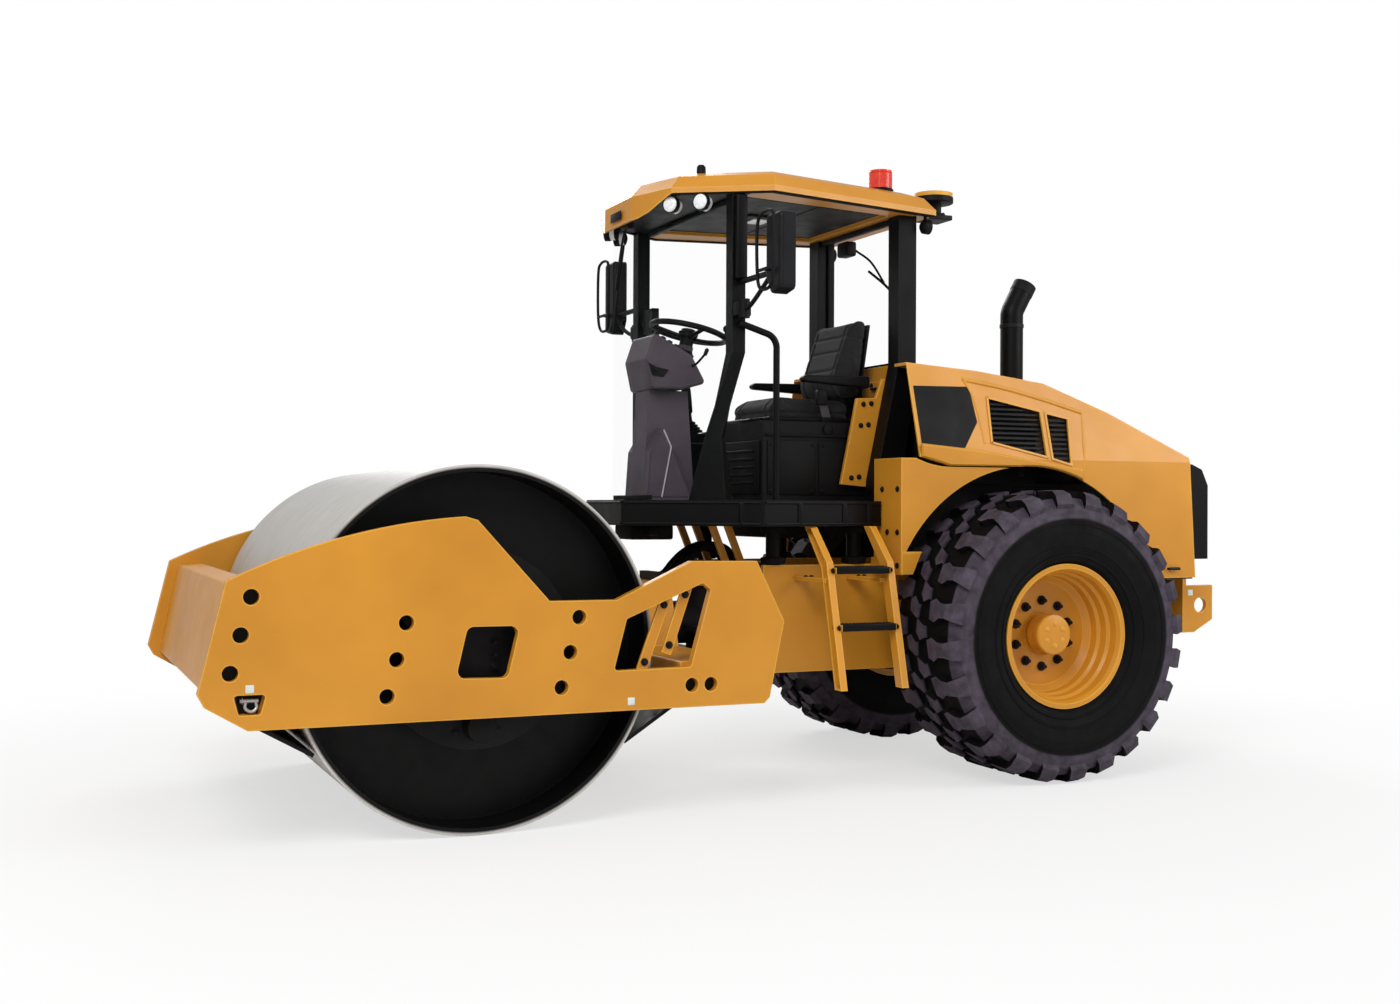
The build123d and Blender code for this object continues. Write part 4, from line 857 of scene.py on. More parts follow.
def seat():
    """Cushions, shell, armrests, belt and controls, and the panels of the seat's box."""
    bolsters = [lambda p, s=s: p.y - s * BOLSTER for s in SIDES]
    base_seams = bolsters + [lambda p: (p.x - rear(1.02)) if abs(p.y) < BOLSTER else 1.0,
            lambda p: p.z - 1.850]
    cushion("seat_cushion_pad", [(0.772, 1.808), (1.236, 1.808), (1.240, 1.895), (1.180, 1.918),
            (0.772, 1.906)], 0.236, 0.026, base_seams, "seat_cushion")
    lean = Vector((-0.1, 0, 0.44)).normalized()
    across = [lambda p, h=h: (p - at(0.76, 0, 1.94)).dot(lean) - h if abs(p.y) < BOLSTER else 1.0
            for h in (0.130, 0.235)]
    neck = [lambda p: (p - at(0.76, 0, 1.94)).dot(lean) - 0.318]
    cushion("seat_back_pad", [(0.704, 1.940), (0.816, 1.940), (0.836, 2.020), (0.742, 2.290), (0.722, 2.356),
            (0.660, 2.356)], 0.226, 0.028, bolsters + across + neck, "seat_back")
    shell = Piece("seat_shell")
    shell.plate(((0.690, 1.880), (0.700, 1.880), (0.652, 2.330), (0.632, 2.330), (0.672, 2.060)), -0.205,
            0.41)
    shell.done("black_plastic", bevel=0.006)
    pan = Piece("seat_pan")
    pan.box(at(0.745, -0.262, 1.8015), at(1.262, 0.262, 1.826), 0.008)
    pan.box(at(0.700, -0.150, 1.790), at(0.760, 0.150, 1.96), 0.010)
    pan.done("black_plastic")
    for side, word in WHEELS:
        arm = Piece(f"armrest_{word}")
        y = side * 0.292
        arm.plate(((0.700, 1.985), (1.085, 2.005), (1.098, 2.022), (1.080, 2.040), (0.700, 2.048)), y - 0.026,
                0.052)
        pad = softened(arm, "black_plastic", 0.016, 4)
        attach(pad, "chassis")
        hanger = Piece(f"armrest_bracket_{word}")
        hanger.bar(at(0.735, side * 0.200, 2.010), at(0.735, y, 2.010), 0.016, 20)
        hanger.bar(at(0.735, y - 0.018, 2.010), at(0.735, y + 0.018, 2.010), 0.030, 24)
        hanger.done("black_plastic")
    belt = Piece("seat_belt")
    belt.prism([at(0.905, 0.270, 1.812), at(0.955, 0.270, 1.812), at(0.985, 0.276, 1.905),
            at(0.935, 0.276, 1.905)], (0, 0.003, 0))
    belt.prism([at(0.800, -0.268, 1.812), at(0.850, -0.268, 1.812), at(0.880, -0.274, 1.930),
            at(0.830, -0.274, 1.930)], (0, -0.003, 0))
    belt.done("webbing", bevel=0.0008)
    buckle = Piece("belt_buckle")
    buckle.box(at(0.937, 0.268, 1.890), at(0.997, 0.292, 1.965), 0.006)
    buckle.box(at(0.900, 0.2655, 1.800), at(0.962, 0.2745, 1.830), 0.003)
    buckle.done("black_plastic")
    slide = Piece("seat_controls")
    slide.bar(at(1.265, 0.190, 1.815), at(1.330, 0.190, 1.808), 0.008, 14)
    slide.bar(at(1.330, 0.190, 1.808), at(1.330, 0.080, 1.808), 0.008, 14)
    slide.bar(at(0.960, 0.262, 1.782), at(0.960, 0.3325, 1.782), 0.010, 18)
    slide.turned([(0, 0.0), (0, 0.024), (0.012, 0.026), (0.016, 0.020), (0.016, 0.0)],
            at(0.960, 0.330, 1.760), Y_AXIS, 28)
    slide.done("black_plastic")
    box = Piece("seat_box_panels")
    for side in SIDES:
        face = side * SEAT_BOX_HALF
        for x1, x2 in ((0.725, 1.010), (1.030, 1.305)):
            box.box(at(x1, face, 1.425), at(x2, face + side * 0.006, 1.700), 0.0025)
        box.box(at(0.720, face, 1.722), at(1.315, face + side * 0.012, 1.734), 0.003)
        for x in (0.745, 0.990, 1.050, 1.285):
            for z in (1.445, 1.680):
                box.bolt(at(x, face + side * 0.005, z), (0, side, 0), 0.007, 0.006)
    box.box(at(1.330, -0.300, 1.425), at(1.337, 0.300, 1.700), 0.003)
    for z in (1.48, 1.52, 1.56, 1.60, 1.64):
        box.box(at(1.335, -0.240, z), at(1.343, 0.240, z + 0.014), 0.003)
    box.done("black_plastic")


# ---- console, levers and pedals ----
STEER_TILT = math.radians(13)
WHEEL_CENTRE = at(1.595, 0, 2.262)
CONSOLE_HALF = 0.150
STEER_AXIS = Vector((-math.sin(STEER_TILT), 0, math.cos(STEER_TILT)))
STEER_LONG = Vector((math.cos(STEER_TILT), 0, math.sin(STEER_TILT)))


def console():
    """Dress of the steering console, the lever, the display and the floor mat."""
    panels = Piece("console_side_panels")
    ledge = Piece("console_edges")
    for side in SIDES:
        face = side * CONSOLE_HALF
        panels.plate(((1.880, 1.412), (1.862, 1.640), (1.800, 1.742), (1.762, 1.662), (1.812, 1.412)), face,
                side * 0.005)
        panels.plate(((1.796, 1.412), (1.750, 1.640), (1.665, 1.424), (1.665, 1.412)), face, side * 0.003)
        ledge.bar(at(1.806, face + side * 0.003, 1.410), at(1.756, face + side * 0.003, 1.662), 0.0045, 10)
        ledge.bar(at(1.756, face + side * 0.003, 1.662), at(1.797, face + side * 0.003, 1.748), 0.0045, 10)
    panels.done("grey_plastic", bevel=0.002)
    ledge.done("pale_plastic")
    boot = Piece("column_boot")
    boot.turned([(0, 0.052), (0.012, 0.058), (0.020, 0.050), (0.032, 0.056), (0.040, 0.048), (0.052, 0.053),
            (0.060, 0.044), (0.070, 0.041)], WHEEL_CENTRE - STEER_AXIS * 0.170, STEER_AXIS, 40)
    boot.done("rubber")
    face = Piece("console_controls")
    for side in SIDES:
        y = side * CONSOLE_HALF
        face.plate(((1.882, 2.082), (1.838, 2.062), (1.770, 2.050), (1.800, 2.012), (1.862, 2.020)), y,
                side * 0.004)
        face.bar(at(1.852, y, 2.066), at(1.840, y + side * 0.020, 2.036), 0.006, 12)
    for index in range(5):
        place = at(1.678 + 0.036 * index, 0.110, 2.152 + 0.0185 * index)
        face.box(place + Vector((-0.012, -0.014, -0.006)), place + Vector((0.012, 0.014, 0.012)), 0.003,
                Matrix.Rotation(math.radians(-27), 4, "Y"))
    face.bar(at(1.640, -0.112, 2.120), at(1.628, -0.112, 2.150), 0.014, 24)
    face.bar(at(1.630, -0.112, 2.146), at(1.616, -0.112, 2.176), 0.005, 12)
    face.tube([at(1.640, 0.150, 2.075), at(1.636, 0.200, 2.085), at(1.615, 0.245, 2.125)], 0.006, 12)
    face.turned([(0, 0.0), (0.001, 0.009), (0.030, 0.011), (0.038, 0.006), (0.039, 0.0)],
            at(1.615, 0.245, 2.120), (-0.35, 0.2, 1), 20)
    face.done("black_plastic")
    gauge = Piece("console_gauges")
    up = Vector((-0.459, 0, 0.888))
    for y, r in ((-0.045, 0.034), (0.040, 0.034)):
        gauge.turned([(0, r), (0.006, r), (0.008, r - 0.003), (0.004, r - 0.005), (0.004, 0.0)],
                at(1.758, y, 2.1915), up, 40)
    gauge.done("pale_plastic")
    knob = Piece("steering_knob")
    place = WHEEL_CENTRE - STEER_LONG * 0.160 + Vector((0, 0.112, 0)) + STEER_AXIS * 0.010
    knob.turned([(0, 0.0), (0, 0.016), (0.008, 0.017), (0.012, 0.010), (0.022, 0.010), (0.030, 0.020),
            (0.044, 0.023), (0.056, 0.017), (0.060, 0.0)], place, STEER_AXIS, 32)
    knob.turned([(0, 0.0), (0.0, 0.040), (0.010, 0.040), (0.016, 0.030), (0.018, 0.0)], WHEEL_CENTRE,
            STEER_AXIS, 40)
    knob.turned([(-0.030, 0.046), (-0.006, 0.052), (0.001, 0.044)], WHEEL_CENTRE, STEER_AXIS, 40)
    knob.done("black_plastic", "steering_wheel")
    lever = Piece("drive_lever_grip")
    foot, head = at(1.400, -0.388, 1.750), at(1.440, -0.388, 2.010)
    along = (head - foot).normalized()
    lever.turned([(0.005, 0.058), (0.018, 0.060), (0.024, 0.046), (0.034, 0.050), (0.040, 0.036),
            (0.050, 0.040), (0.056, 0.026), (0.066, 0.028), (0.074, 0.0135)], foot + along * 0.004, along, 36)
    lever.turned([(0.120, 0.0135), (0.128, 0.020), (0.190, 0.024), (0.245, 0.026), (0.272, 0.023),
            (0.282, 0.012), (0.284, 0.0)], foot, along, 32)
    lever.box(head + Vector((0.014, -0.010, -0.062)), head + Vector((0.030, 0.010, -0.034)), 0.003)
    lever.done("black_plastic")
    keys = Piece("console_switches")
    for x in (1.190, 1.230, 1.270, 1.310):
        keys.box(at(x, -0.412, 1.758), at(x + 0.024, -0.366, 1.770), 0.003)
    keys.box(at(1.165, -0.428, 1.756), at(1.345, -0.348, 1.7625), 0.002)
    keys.box(at(1.150, -0.4405, 1.700), at(1.500, -0.3345, 1.712), 0.003)
    keys.done("grey_plastic")
    screen = Piece("display_screen")
    screen.box(at(1.5965, -0.509, 2.312), at(1.6005, -0.411, 2.418), 0.001)
    screen.done("dark_glass")
    rest = Piece("display_housing")
    for low, high in (((1.594, -0.523, 2.297), (1.634, -0.509, 2.433)),
            ((1.594, -0.411, 2.297), (1.634, -0.397, 2.433)), ((1.594, -0.523, 2.418),
            (1.634, -0.397, 2.433)), ((1.594, -0.523, 2.297), (1.634, -0.397, 2.312))):
        rest.box(at(*low), at(*high), 0.003)
    rest.turned([(-0.012, 0.020), (0.012, 0.020)], at(1.615, -0.540, 2.360), Y_AXIS, 24)
    rest.done("black_plastic")
    pedal = Piece("floor_mat")
    for index in range(16):
        y = -0.28 + 0.036 * index
        pedal.box(at(1.362, y, 1.3955), at(1.625, y + 0.020, 1.4005), 0.0015)
    pedal.box(at(1.352, -0.300, 1.3945), at(1.635, 0.300, 1.3975), 0.001)
    pedal.done("rubber")


# ---- cab fittings ----
def mirrors():
    """Arm, guard loop, glass and trim of both mirrors."""
    arms = Piece("mirror_arms")
    glasses = Piece("mirror_glasses")
    loops = Piece("mirror_guards")
    trims = Piece("mirror_trims")
    for side, z, height in ((1, 2.330, 0.370), (-1, 2.350, 0.420)):
        y = side * 0.636
        arms.box(at(1.572, y, z - 0.060), at(1.648, y + side * 0.050, z + 0.010), 0.008)
        arms.bar(at(1.610, y + side * 0.050, z - 0.070), at(1.610, y + side * 0.050, z + 0.020), 0.026, 24)
        arms.tube([at(1.610, y + side * 0.052, z - 0.030), at(1.618, y + side * 0.130, z - 0.020),
                at(1.622, y + side * 0.240, z + 0.030), at(1.612, y + side * 0.345, z + 0.105)], 0.011, 14)
        loops.tube([at(1.672, side * 0.975, z + 0.030), at(1.676, side * 0.952, z + 0.120),
                at(1.676, side * 0.952, z + height - 0.060), at(1.672, side * 0.990, z + height - 0.004),
                at(1.672, side * 1.085, z + height - 0.004), at(1.676, side * 1.116, z + height - 0.060),
                at(1.676, side * 1.116, z + 0.120), at(1.672, side * 1.080, z + 0.030)], 0.008, 12, True)
        loops.bar(at(1.630, side * 1.030, z + 0.110), at(1.676, side * 1.030, z + 0.110), 0.010, 14)
        loops.bar(at(1.676, side * 0.952, z + 0.110), at(1.676, side * 1.116, z + 0.110), 0.008, 14)
        glasses.box(at(1.5565, side * 0.976, z + 0.085), at(1.5605, side * 1.096, z + height - 0.016), 0.001)
        trims.box(at(1.582, side * 0.962, z + 0.150), at(1.586, side * 1.108, z + height - 0.010), 0.001)
    arms.done("black_plastic")
    loops.done("black_plastic")
    glasses.done("mirror_glass")
    trims.done("black_plastic")


def lamps():
    """Lenses and bezels of the front and rear work lamps."""
    lens = Piece("lamp_lenses")
    bezel = Piece("lamp_bezels")
    for x, y in ((1.868, 0.420), (1.765, 0.545)):
        for side in SIDES:
            aim = Vector((0.044, side * 0.032, 0)).normalized()
            face = at(x, side * y, 2.820) + aim * 0.0272
            lens.turned([(0.0, 0.0345), (0.003, 0.033), (0.006, 0.026), (0.008, 0.014), (0.0085, 0.0)], face,
                    aim, 40)
            bezel.turned([(-0.030, 0.0385), (-0.026, 0.0415), (0.001, 0.0415), (0.0025, 0.0385),
                    (-0.002, 0.0345)], face, aim, 40)
            bezel.turned([(-0.0545, 0.0), (-0.066, 0.016), (-0.060, 0.030), (-0.0545, 0.037)], face, aim, 32)
    for side in SIDES:
        place = at(0.480, side * 0.500, 2.812)
        bezel.turned([(-0.030, 0.0), (-0.028, 0.020), (-0.014, 0.036), (0.018, 0.038), (0.020, 0.035),
                (0.017, 0.0)], place, (-1, 0, 0), 36)
        bezel.bar(place + Vector((0.004, 0, 0.030)), place + Vector((0.004, 0, 0.0545)), 0.009, 16)
        lens.turned([(0.016, 0.034), (0.021, 0.030), (0.024, 0.016), (0.0245, 0.0)], place, (-1, 0, 0), 36)
    lens.done("lamp")
    bezel.done("black_plastic")


def roof_details():
    """Beacon's base and ribs, receiver's dark parts, aerial, visor plate and ceiling fittings."""
    base = Piece("beacon_base")
    foot = at(0.680, 0.380, 2.9905)
    base.turned([(0.0, 0.062), (0.003, 0.0665), (0.016, 0.0665), (0.021, 0.0615), (0.021, 0.0585)], foot,
            Z_AXIS, 48)
    base.done("black_plastic")
    ribs = Piece("beacon_ribs")
    for dx, dy in around(36, 0.0570):
        ribs.bar(foot + Vector((dx, dy, 0.022)), foot + Vector((dx, dy, 0.104)), 0.0026, 8)
    for z in (0.100, 0.106):
        ribs.turned([(z - 0.003, 0.0575), (z, 0.0605), (z + 0.003, 0.0575)], foot, Z_AXIS, 48)
    ribs.done("beacon_red")
    hub = at(0.370, 0.400, 2.868)
    disc = Piece("receiver_trim")
    disc.turned([(0.0895, 0.0415), (0.0895, 0.0985), (0.093, 0.1035), (0.119, 0.1035), (0.121, 0.1005)], hub,
            Z_AXIS, 64)
    disc.turned([(0.024, 0.058), (0.026, 0.062), (0.034, 0.062), (0.038, 0.0415), (0.0895, 0.0415)], hub,
            Z_AXIS, 48)
    disc.box(at(0.298, 0.3285, 2.8665), at(0.449, 0.4715, 2.8915), 0.003)
    for dx, dy in around(4, 0.052, 0.5):
        disc.bolt(hub + Vector((dx, dy, 0.033)), Z_AXIS, 0.007, 0.008)
    disc.done("black_plastic")
    stub = Piece("roof_aerial")
    stub.turned([(0.0, 0.032), (0.006, 0.031), (0.010, 0.024), (0.070, 0.022), (0.080, 0.014), (0.083, 0.0)],
            at(1.700, 0.380, 2.958), Z_AXIS, 28)
    stub.done("black_plastic")
    bare = Piece("visor_plate")
    bare.box(at(1.999, -0.070, 2.802), at(2.0025, 0.070, 2.846), 0.001)
    bare.done("black_plastic")
    ceiling = Piece("ceiling_fittings")
    ceiling.box(at(1.10, -0.110, 2.868), at(1.30, 0.110, 2.884), 0.005)
    ceiling.box(at(1.58, -0.520, 2.836), at(1.61, 0.520, 2.864), 0.006)
    ceiling.box(at(0.585, -0.370, 2.836), at(0.615, 0.370, 2.864), 0.006)
    ceiling.done("black_plastic")
    glow = Piece("ceiling_lamp")
    glow.box(at(1.15, -0.060, 2.862), at(1.25, 0.060, 2.869), 0.003)
    glow.done("lamp")


def glass_fittings():
    """Window seals, wipers and the boxes on the front posts."""
    seal = Piece("window_seals")
    for y in (-0.3797, 0.3677):
        seal.box(at(0.558, y, 2.112), at(0.572, y + 0.012, 2.862), 0.002)
    for z in (2.1105, 2.850):
        seal.box(at(0.558, -0.379, z), at(0.572, 0.379, z + 0.012), 0.002)
    seal.box(at(1.898, -0.248, 1.397), at(1.9125, 0.248, 1.420), 0.003)
    seal.done("rubber")
    wipe = Piece("wipers")
    wipe.box(at(1.918, -0.050, 2.765), at(1.958, 0.050, 2.845), 0.010)
    wipe.tube([at(1.940, 0.0, 2.800), at(1.948, -0.045, 2.700), at(1.944, -0.110, 2.560),
            at(1.938, -0.150, 2.480)], 0.006, 10)
    wipe.tube([at(1.926, -0.080, 2.700), at(1.928, -0.150, 2.480), at(1.926, -0.215, 2.270)], 0.007, 10)
    wipe.box(at(0.575, -0.150, 2.735), at(0.640, -0.040, 2.815), 0.012)
    wipe.bar(at(0.640, -0.095, 2.775), at(0.552, -0.095, 2.775), 0.010, 16)
    wipe.tube([at(0.550, -0.095, 2.775), at(0.546, 0.060, 2.690), at(0.548, 0.200, 2.560)], 0.006, 10)
    wipe.tube([at(0.552, 0.050, 2.640), at(0.551, 0.200, 2.555), at(0.552, 0.330, 2.470)], 0.007, 10)
    wipe.done("black_plastic")
    column = Piece("post_boxes")
    for side in SIDES:
        column.box(at(1.584, side * 0.636, 2.450), at(1.640, side * 0.668, 2.852), 0.008)
    column.done("black_paint")


def cab_shell_details():
    """Bulkhead, platform and bare plates."""
    pins = Piece("bulkhead_bolts")
    for y in (-0.335, -0.17, 0.0, 0.17, 0.335):
        for z in (1.790, 2.010):
            pins.bolt(at(0.604, y, z), X_AXIS, 0.010, 0.008)
        for z in (1.445, 1.720):
            pins.bolt(at(0.592, y, z), X_AXIS, 0.010, 0.008)
    for x, z in ((0.728, 1.900), (0.775, 1.895), (0.745, 1.790), (0.790, 1.785), (0.800, 1.520),
            (0.845, 1.515)):
        for side in SIDES:
            pins.bolt(at(x, side * 0.3765, z), (0, side, 0), 0.009, 0.010)
    pins.done("dark_steel")
    wing = Piece("bulkhead_wings")
    for side in SIDES:
        wing.plate(((0.604, 2.030), (0.664, 2.030), (0.700, 1.930), (0.812, 1.925), (0.905, 1.480),
                (0.780, 1.470), (0.604, 1.470)), side * 0.352, side * 0.024)
    wing.done("body_paint", bevel=0.004)
    latch = Piece("bulkhead_catches")
    for z in (1.905, 1.985):
        latch.box(at(0.606, 0.180, z), at(0.622, 0.330, z + 0.014), 0.004)
    latch.done("dark_steel")
    edge = Piece("platform_trim")
    outline = [(2.060, 0.250), (1.520, 0.720), (0.771, 0.560)]
    loop = [at(x, y, 0) for x, y in outline] + [at(x, -y, 0) for x, y in reversed(outline)]
    for z, width in ((1.383, 0.0065), (1.281, 0.0065)):
        for a, b in zip(loop, loop[1:] + loop[:1]):
            a, b = a + (b - a) * 0.02, b + (a - b) * 0.02
            edge.bar(a + Vector((0, 0, z)), b + Vector((0, 0, z)), width, 8)
    for side in SIDES:
        for x in (1.60, 1.30, 1.02, 0.86):
            y = 0.720 - (1.520 - x) * 0.2136 if x < 1.520 else 0.720 - (x - 1.520) * 0.8704
            edge.box(at(x - 0.012, side * (y - 0.002) - 0.010, 1.284),
                    at(x + 0.012, side * (y - 0.002) + 0.010, 1.380), 0.003)
    edge.done("black_paint")
    under = Piece("platform_underside")
    for x0, x1, y0, y1, z in ((1.700, 1.930, -0.180, 0.060, 1.195), (1.780, 1.860, 0.080, 0.230, 1.215),
            (0.95, 1.22, -0.30, 0.30, 1.205)):
        under.box(at(x0, y0, z), at(x1, y1, 1.271), 0.012)
    for x in (0.850, 1.310):
        for side in SIDES:
            for z in (1.078, 1.232):
                under.turned([(0, 0.038), (0.002, 0.060), (0.030, 0.064), (0.034, 0.060), (0.036, 0.038)],
                        at(x, side * 0.410, z), Z_AXIS, 32)
    under.done("rubber")
    struts = Piece("platform_struts")
    for side in SIDES:
        for x in (1.335, 1.420):
            struts.prism([at(x, side * 0.190, 1.001), at(x + 0.040, side * 0.190, 1.001),
                    at(x + 0.150, side * 0.190, 1.269), at(x + 0.110, side * 0.190, 1.269)],
                    (0, side * 0.022, 0))
    struts.done("body_paint", bevel=0.003)
    tag = Piece("bare_plates_rear")
    tag.box(at(0.700, 0.4795, 1.452), at(0.752, 0.4815, 1.484), 0.0005)
    for side in SIDES:
        tag.box(at(-1.190, side * 0.6195, 0.884), at(-1.155, side * 0.6215, 0.916), 0.0005)
    tag.done("bare_plate")


def ladder_and_fenders():
    """Ladder's treads and bolts, and the bolts and steps of the fixed side panels."""
    tread = Piece("ladder_treads")
    for z, y in ((1.060, 0.775), (0.790, 0.835)):
        tread.box(at(0.892, y - 0.012, z - 0.0165), at(1.188, y + 0.062, z + 0.0165), 0.003)
        for index in range(14):
            x = 0.905 + 0.0208 * index
            for row in range(3):
                tread.bar(at(x, y + 0.004 + 0.021 * row, z + 0.015),
                        at(x, y + 0.004 + 0.021 * row, z + 0.021), 0.0055, 8, 0.0035)
    tread.done("black_paint")
    pins = Piece("ladder_bolts")
    for z, y in ((1.060, 0.800), (0.790, 0.860)):
        for dy in (-0.018, 0.022):
            pins.bolt(at(1.198, y + dy, z), X_AXIS, 0.009, 0.010)
            pins.bolt(at(0.882, y + dy, z), (-1, 0, 0), 0.009, 0.010)
    for dy in (-0.016, 0.014):
        pins.bolt(at(1.198, 0.920 + dy, 0.518), X_AXIS, 0.007, 0.008)
        pins.bolt(at(0.882, 0.920 + dy, 0.518), (-1, 0, 0), 0.007, 0.008)
    for x in (0.890, 1.190):
        for dx in (-0.016, 0.016):
            pins.bolt(at(x + dx, 0.560, 1.020), Z_AXIS, 0.008, 0.008)
    pins.done("dark_steel")
    marks = Piece("fender_bolts")
    crease = Piece("fender_steps")
    for side in SIDES:
        for y, z in ((0.705, 1.455), (0.705, 1.240), (0.610, 1.240), (0.560, 1.455), (0.705, 1.075)):
            marks.bolt(at(0.770, side * y, z), X_AXIS, 0.010, 0.009)
        crease.plate(((0.768, 1.139), (0.655, 1.139), (0.703, 1.032), (0.768, 1.032)), side * 0.7395,
                side * 0.004)
        crease.bar(at(0.768, side * 0.7405, 1.141), at(0.652, side * 0.7405, 1.141), 0.004, 10)
        for x, z in ((-1.010, 1.045), (-1.010, 0.900)):
            marks.bolt(at(x, side * 0.4505, z), (0, side, 0), 0.012, 0.010)
    marks.done("dark_steel")
    crease.done("body_paint", bevel=0.0015)


# ---- engine room ----
def engine_details():
    """Covers, cans, hoses, fan and shields under the hood."""
    head = Piece("engine_covers")
    head.box(at(-0.760, -0.135, 1.4985), at(0.060, 0.135, 1.590), 0.022)
    for index in range(9):
        x = -0.700 + 0.088 * index
        head.box(at(x, -0.120, 1.586), at(x + 0.020, 0.120, 1.600), 0.006)
    head.turned([(0, 0.034), (0.030, 0.034), (0.036, 0.028), (0.036, 0.0)], at(-0.02, 0.0, 1.596), Z_AXIS, 32)
    head.box(at(-1.085, -0.390, 1.5385), at(-0.995, 0.390, 1.572), 0.012)
    head.turned([(0, 0.026), (0.016, 0.030), (0.022, 0.024), (0.022, 0.0)], at(-1.040, 0.24, 1.571), Z_AXIS,
            28)
    head.done("dark_steel")
    cans = Piece("air_cleaner_and_muffler")
    cans.turned([(0, 0.0), (0.0, 0.095), (0.014, 0.112), (0.090, 0.112), (0.094, 0.118), (0.106, 0.118),
            (0.110, 0.112), (0.390, 0.108), (0.400, 0.090), (0.402, 0.0)], at(-0.170, 0.190, 1.720), X_AXIS,
            48)
    cans.turned([(0, 0.0), (0.0, 0.080), (0.020, 0.102), (0.060, 0.102), (0.064, 0.106), (0.380, 0.106),
            (0.384, 0.102), (0.420, 0.102), (0.440, 0.080), (0.440, 0.0)], at(-0.640, -0.190, 1.680), X_AXIS,
            48)
    cans.tube([at(EXHAUST_X, -0.150, 1.760), at(EXHAUST_X, -0.060, 1.800), at(EXHAUST_X, -0.006, 1.830),
            at(EXHAUST_X, 0.0, 1.862)], 0.052, 24)
    for x in (-0.100, 0.120):
        cans.box(at(x, 0.120, 1.496), at(x + 0.030, 0.260, 1.625), 0.006)
    for x in (-0.580, -0.310):
        cans.box(at(x, -0.260, 1.496), at(x + 0.030, -0.120, 1.590), 0.006)
    cans.done("dark_steel")
    pipes = Piece("engine_hoses")
    pipes.tube([at(-0.165, 0.190, 1.720), at(-0.260, 0.190, 1.720), at(-0.330, 0.180, 1.660),
            at(-0.350, 0.170, 1.560), at(-0.350, 0.170, 1.496)], 0.038, 20)
    pipes.tube([at(-0.992, 0.210, 1.470), at(-0.950, 0.210, 1.490), at(-0.900, 0.180, 1.530),
            at(-0.850, 0.120, 1.560), at(-0.752, 0.060, 1.560)], 0.026, 18)
    pipes.tube([at(-0.992, -0.250, 1.000), at(-0.960, -0.290, 1.020), at(-0.900, -0.318, 1.060),
            at(-0.800, -0.318, 1.120), at(-0.700, -0.298, 1.180)], 0.024, 18)
    pipes.done("rubber")
    fan = Piece("fan_shroud")
    fan.turned([(0.0, 0.300), (0.0, 0.272), (0.030, 0.268), (0.034, 0.280), (0.034, 0.300), (0.0, 0.300)],
            at(-0.989, 0, 1.230), X_AXIS, 64)
    foot = at(-0.972, 0, 1.230)
    for dy, dz in around(8, 1.0):
        tip = Vector((0, dy, dz))
        across = Vector((0.5, -dz * 0.6, dy * 0.6)).normalized()
        fan.prism([foot + tip * 0.05 - across * 0.022, foot + tip * 0.05 + across * 0.022,
                foot + tip * 0.255 + across * 0.034, foot + tip * 0.255 - across * 0.034], (0.003, 0, 0))
    fan.turned([(0, 0.0), (0.0, 0.060), (0.022, 0.060), (0.026, 0.0)], at(-0.986, 0, 1.230), X_AXIS, 40)
    fan.done("black_plastic")
    shields = Piece("engine_shields")
    for side in SIDES:
        y = side * 0.345
        shields.plate(((-0.330, 1.505), (0.300, 1.505), (0.420, 1.640), (0.420, 1.940), (0.100, 1.940),
                (-0.330, 1.800)), y, side * 0.003)
        for x in (-0.25, 0.0, 0.25):
            shields.box(at(x, y, 1.540), at(x + 0.030, y + side * 0.008, 1.780), 0.003)
        shields.box(at(-0.320, side * 0.298, 1.490), at(0.245, side * 0.347, 1.508), 0.003)
    shields.box(at(0.540, -0.379, 1.300), at(0.5545, 0.379, 2.020), 0.003)
    shields.done("black_paint")
    seals = Piece("hood_side_seals")
    for side in SIDES:
        seals.prism([at(0.524, side * y, z) for y, z in ((0.4805, 1.620), (0.695, 1.620), (0.650, 1.800),
                (0.605, 1.950), (0.588, 2.015), (0.4805, 2.015))], (0.008, 0, 0))
    seals.done("rubber")
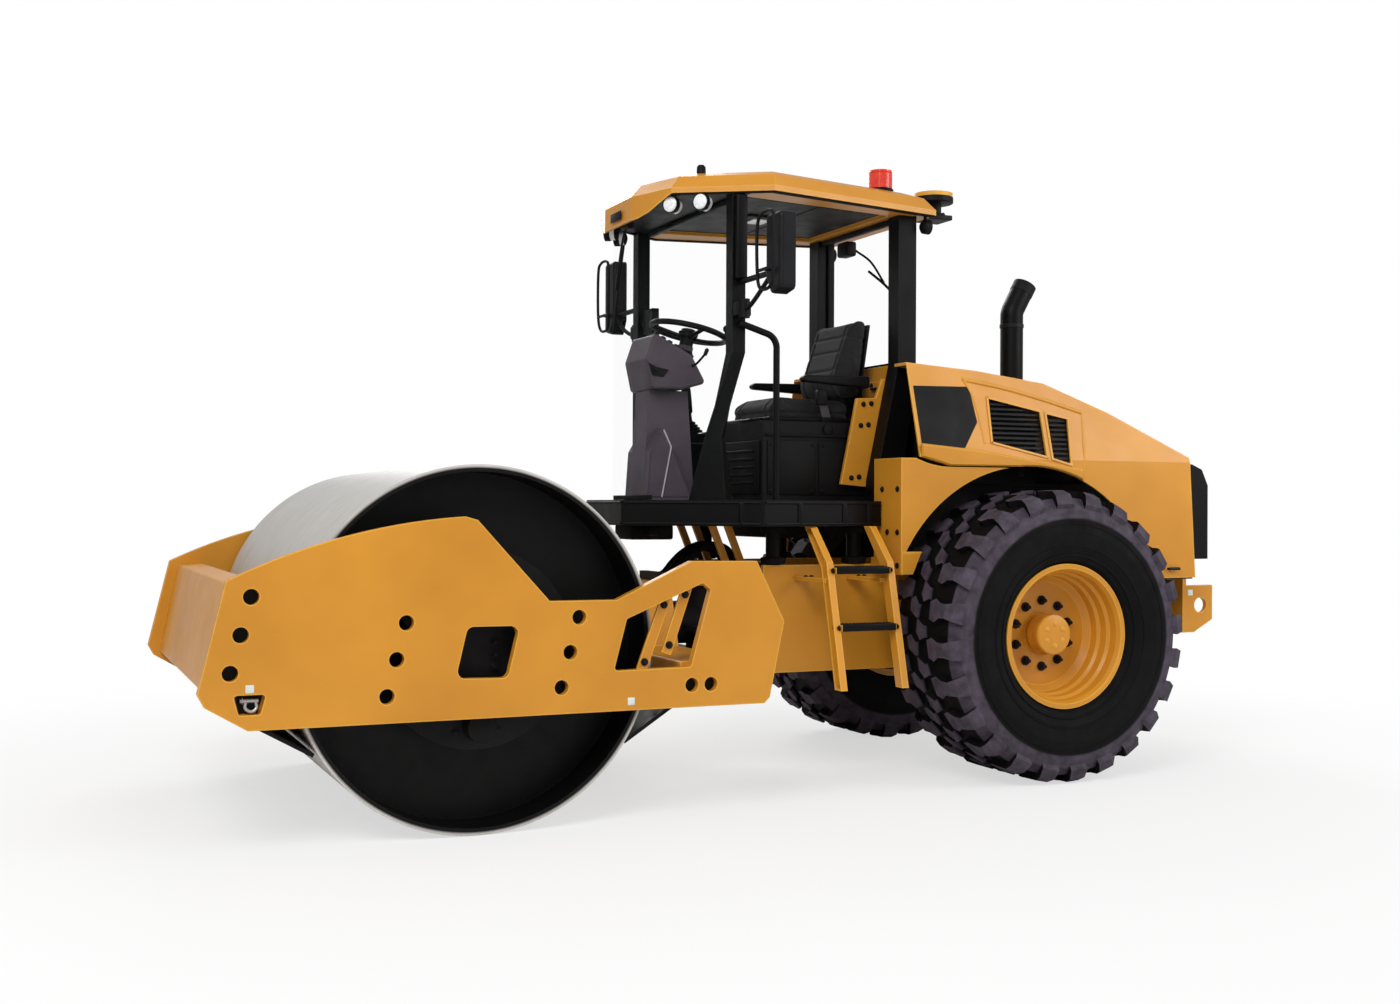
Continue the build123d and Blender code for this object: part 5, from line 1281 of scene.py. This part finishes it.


# ---- screens, and linings partly in painted shade ----
def vent_meshes():
    """Woven wire behind the hood's slatted screens."""
    wires = Piece("vent_meshes")
    for side in SIDES:
        for index in range(46):
            x = 0.228 - 0.0118 * index
            low, high = 1.618 + 0.20 * max(0.0, x + 0.10), 1.856 + 0.205 * (x + 0.30)
            if low < high:
                wires.bar(on_hood(x, low, side, -0.024), on_hood(x, high, side, -0.024), 0.0016, 5)
        for index in range(28):
            z = 1.625 + 0.0118 * index
            left = -0.300 if z < 1.862 else -0.300 + (z - 1.862) * 4.9
            right = 0.232 if z > 1.70 else 0.232 - (1.70 - z) * 4.0
            if left < right:
                wires.bar(on_hood(left, z, side, -0.0265), on_hood(right, z, side, -0.0265), 0.0016, 5)
    wires.done("black_paint", "hood")


def roof_linings_and_shade():
    """Ceiling panels and the front of the roof's underside in black, which stands partly for a dark lining
    and partly for painted shade, and the seal along its edge.
    """
    # Black ceiling panels: a lining in part, and in part painted shade where the roof's underside lies in
    # shadow.
    liner_and_shade = Piece("ceiling_liner_and_shade")
    outline = [(0.668, 0.424), (1.552, 0.552), (1.552, -0.552), (0.668, -0.424)]
    liner_and_shade.prism([at(x, y, 2.8835) for x, y in outline], (0, 0, 0.002))
    inner = [(0.720, 0.370), (1.060, 0.420), (1.060, -0.420), (0.720, -0.370)]
    liner_and_shade.prism([at(x, y, 2.8795) for x, y in inner], (0, 0, 0.005))
    inner = [(1.110, 0.430), (1.500, 0.486), (1.500, -0.486), (1.110, -0.430)]
    liner_and_shade.prism([at(x, y, 2.8795) for x, y in inner], (0, 0, 0.005))
    liner_and_shade.done("black_plastic", bevel=0.0015)
    # Black sheet under the front of the roof: a lining in part, and in part painted shade where the underside
    # lies in shadow.
    apron = Piece("roof_front_lining_and_shade")
    apron.prism([at(x, y, 2.8630) for x, y in ((1.556, 0.690), (1.878, 0.483), (1.878, -0.483),
            (1.556, -0.690))], (0, 0, 0.0025))
    apron.done("black_plastic")
    rim = Piece("roof_edge_seal")
    for (x1, y1), (x2, y2) in (((0.455, 0.545), (1.478, 0.742)), ((1.482, 0.742), (1.892, 0.478))):
        for side in SIDES:
            a, b = at(x1, side * y1, 2.8655), at(x2, side * y2, 2.8655)
            inward = Vector((0, -side * 0.030, 0))
            rim.prism([a, b, b + inward, a + inward], (0, 0, -0.006))
    rim.done("rubber")


for build in (front_frame_details, crossmember_details, wheel_details, hood_details, hitch_hoses, seat,
        console, mirrors, lamps, roof_details, glass_fittings, cab_shell_details, ladder_and_fenders,
        engine_details, vent_meshes, roof_linings_and_shade):
    build()
